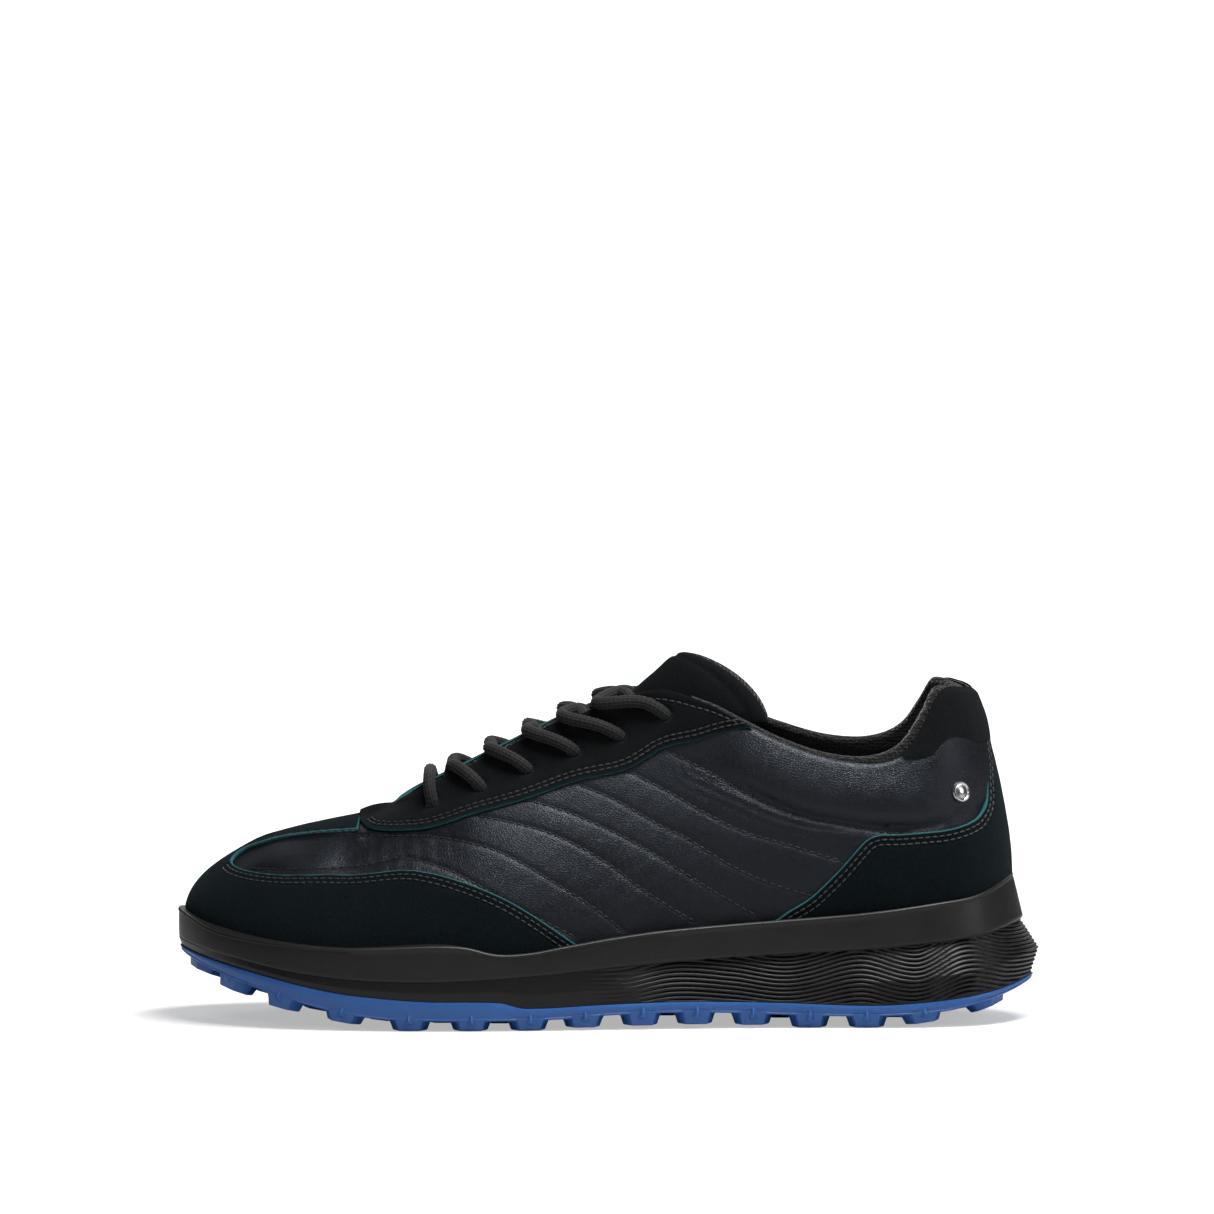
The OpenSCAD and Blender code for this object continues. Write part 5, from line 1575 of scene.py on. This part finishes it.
def lace_crossing(k, side):
    """From a hole, up through the throat and over to the next hole across."""
    p = (side * EYELETS[k][0], EYELETS[k][1])
    q = (-side * EYELETS[k + 1][0], EYELETS[k + 1][1])
    edge = q[0] + side * lean(k + 1)
    rise, leave = one(edge, 1, OVER), one(p[0] + side * 0.12, 1, UNDER)
    return [one(*p, UNDER), leave, (leave + rise) / 2 + (0, 0, 2), rise,
            one(q[0] + side * lean(k + 1) * 0.35, q[1] + 0.045, OVER + 0.2), one(*q, 0.4)]


def lace_climb(side):
    points = []
    for k in range(5):
        points += lace_crossing(k, side)
        side = -side
    return points


def lace_tail(side):
    """An end of the lace, from the top hole down inside the shoe."""
    return [one(side * w, t, UNDER + d) for w, t, d in (
        (6.95, .895, 0), (6.85, .82, -.8), (6.7, .74, -1.3), (6.5, .66, -1.5), (6.3, .58, -1.5))]


def lace_bar():
    """The straight run over the lowest pair of holes."""
    w, t = EYELETS[0]
    e = w + 0.02
    middle = (one(-e, 1, OVER) + one(e, 1, OVER)) / 2 + (0, 0, 1)
    return [one(-w, t, 0.4), one(-e, t + 0.06, OVER), one(-e, 1, OVER), middle,
            one(e, 1, OVER), one(e, t + 0.06, OVER), one(w, t, 0.4)]


def build_lace():
    """The round braided lace: strands side by side, each leaning the other way to the next."""
    route = np.array(lace_tail(-1)[::-1] + lace_climb(1)[::-1] + lace_bar()[::-1]
                     + lace_climb(-1) + lace_tail(1))
    fine = dense(route, 24)
    for _ in range(SOFTEN_ROUNDS):
        fine[1:-1] = fine[1:-1] * 0.5 + (fine[:-2] + fine[2:]) * 0.25
    walk = np.append(0, np.cumsum(np.linalg.norm(np.diff(fine, axis=0), axis=1)))
    n = int(walk[-1] / RING_GAP)
    s = np.linspace(0, walk[-1], n)
    p = np.stack([np.interp(s, walk, fine[:, i]) for i in range(3)], 1)
    d = unit(np.gradient(p, axis=0))
    u = np.zeros_like(p)
    u[0] = unit(np.cross(d[0], (0, 0, 1)))
    for i in range(1, n):
        u[i] = u[i - 1] - d[i] * (u[i - 1] @ d[i])
        u[i] /= np.linalg.norm(u[i])
    v = np.cross(d, u)
    side = np.arange(RING_POINTS)
    angle = side * 2 * math.pi / RING_POINTS
    strand = side * STRANDS // RING_POINTS
    share = (side * STRANDS / RING_POINTS) % 1.0
    slant = np.where(strand % 2 == 0, 1.0, -1.0)
    phase = (s[:, None] / STITCH_ALONG + slant[None] * share[None] * STITCH_LEAN
             + (strand % 2)[None] * 0.5)
    bead = np.abs(np.sin(math.pi * phase)) ** 0.6
    ridge = np.sin(math.pi * (share[None] * 0.94 + 0.03)) ** 0.5
    crown = bead * 0.75 * ridge + 0.25 * ridge
    r = LACE_R - 0.38 + BRAID_DEPTH * crown
    ring = (p[:, None] + u[:, None] * (np.cos(angle)[None] * r)[..., None]
            + v[:, None] * (np.sin(angle)[None] * r)[..., None])
    faces = [tuple(f) for f in ring_tube(n, RING_POINTS)]
    # crown also sets the lace finish's painted shade between the strands.
    obj = make_mesh("braided_lace", ring.reshape(-1, 3), faces, [LACE], attributes={
        "crown": crown.ravel()}, sharp=80)
    outward_normals(obj)
    place(obj, "shoe", "lace_braid", "lace")


def ring_tube(k, n):
    """Faces of a tube of k rings of n points each, with its two ends closed."""
    index = np.arange(k * n).reshape(k, n)
    nxt = np.roll(index, -1, 1)
    faces = np.stack([index[:-1], index[1:], nxt[1:], nxt[:-1]], -1).reshape(-1, 4).tolist()
    return faces + [index[0].tolist(), index[-1][::-1].tolist()]


build_lace()


# ---- Footbed cover and stud ---------------------------------------------------------------

HEEL_CUP = curve([(-150, 0.5), (0, 1), (50, 3.5), (90, 6), (140, 7)])


def build_footbed():
    ws = sole_columns(FOOTBED_COLUMNS)
    shape = [(-5.4, 0.0, 0.2, 1.0), (-5.3, 1.0, 2.0, 0.2), (-5.35, 1.0, 4.5, 0.0),
             (-6.1, 1.0, 5.1, 0.0), (-7.6, 0.92, 5.0, 0.0), (-9.5, 0.72, 5.1, 0.0),
             (-12, 0.45, 5.6, 0.0), (-15, 0.2, 5.4, 0.0), (-19, 0.05, 5.2, 0.0),
             (-23, 0.0, 5.3, 0.0)]
    rings = [plan(ws, inset, lambda x, c=cup, h=lift: feather_z(x) + HEEL_CUP(x) * c + h)
             for inset, cup, lift, _ in shape]
    stack = np.array(rings)
    obj = make_mesh("footbed_cover_textile", stack.reshape(-1, 3),
                    ring_faces(len(stack), len(ws)), [FOOTBED_KNIT], sharp=60)
    outward_normals(obj)
    place(obj, "footbed", "lining_textile", "footbed_cover")


STUD_AT = (-10.92, 0.631)


def build_stud():
    """A plain round stud with a low dome and a rolled rim, set on the leather."""
    w, t = np.array(STUD_AT[:1]), np.array(STUD_AT[1:])
    centre, n = skin(w, t, quarter_face(-1)(w, t, None) - 0.1)[0], skin_normal(w, t)[0]
    side = unit(np.cross(n, (0, 0, 1)))
    up = np.cross(side, n)
    profile = [(3.0, 0.0), (3.72, 0.05), (3.72, 0.5), (3.5, 0.95), (3.1, 1.1), (2.75, 0.95),
               (2.6, 0.72), (2.2, 0.78), (1.5, 1.02), (0.8, 1.15), (0.25, 1.19)]
    k = 48
    angle = np.arange(k) * 2 * math.pi / k
    rings = [centre + side * (r * np.cos(angle))[:, None] + up * (r * np.sin(angle))[:, None]
             + n * h for r, h in profile]
    obj = make_mesh("heel_stud_plain", np.vstack(rings), [tuple(f) for f in
                                                          ring_tube(len(rings), k)], [STUD])
    outward_normals(obj)
    place(obj, "shoe", "stud_metal", "heel_stud")


build_footbed()
build_stud()
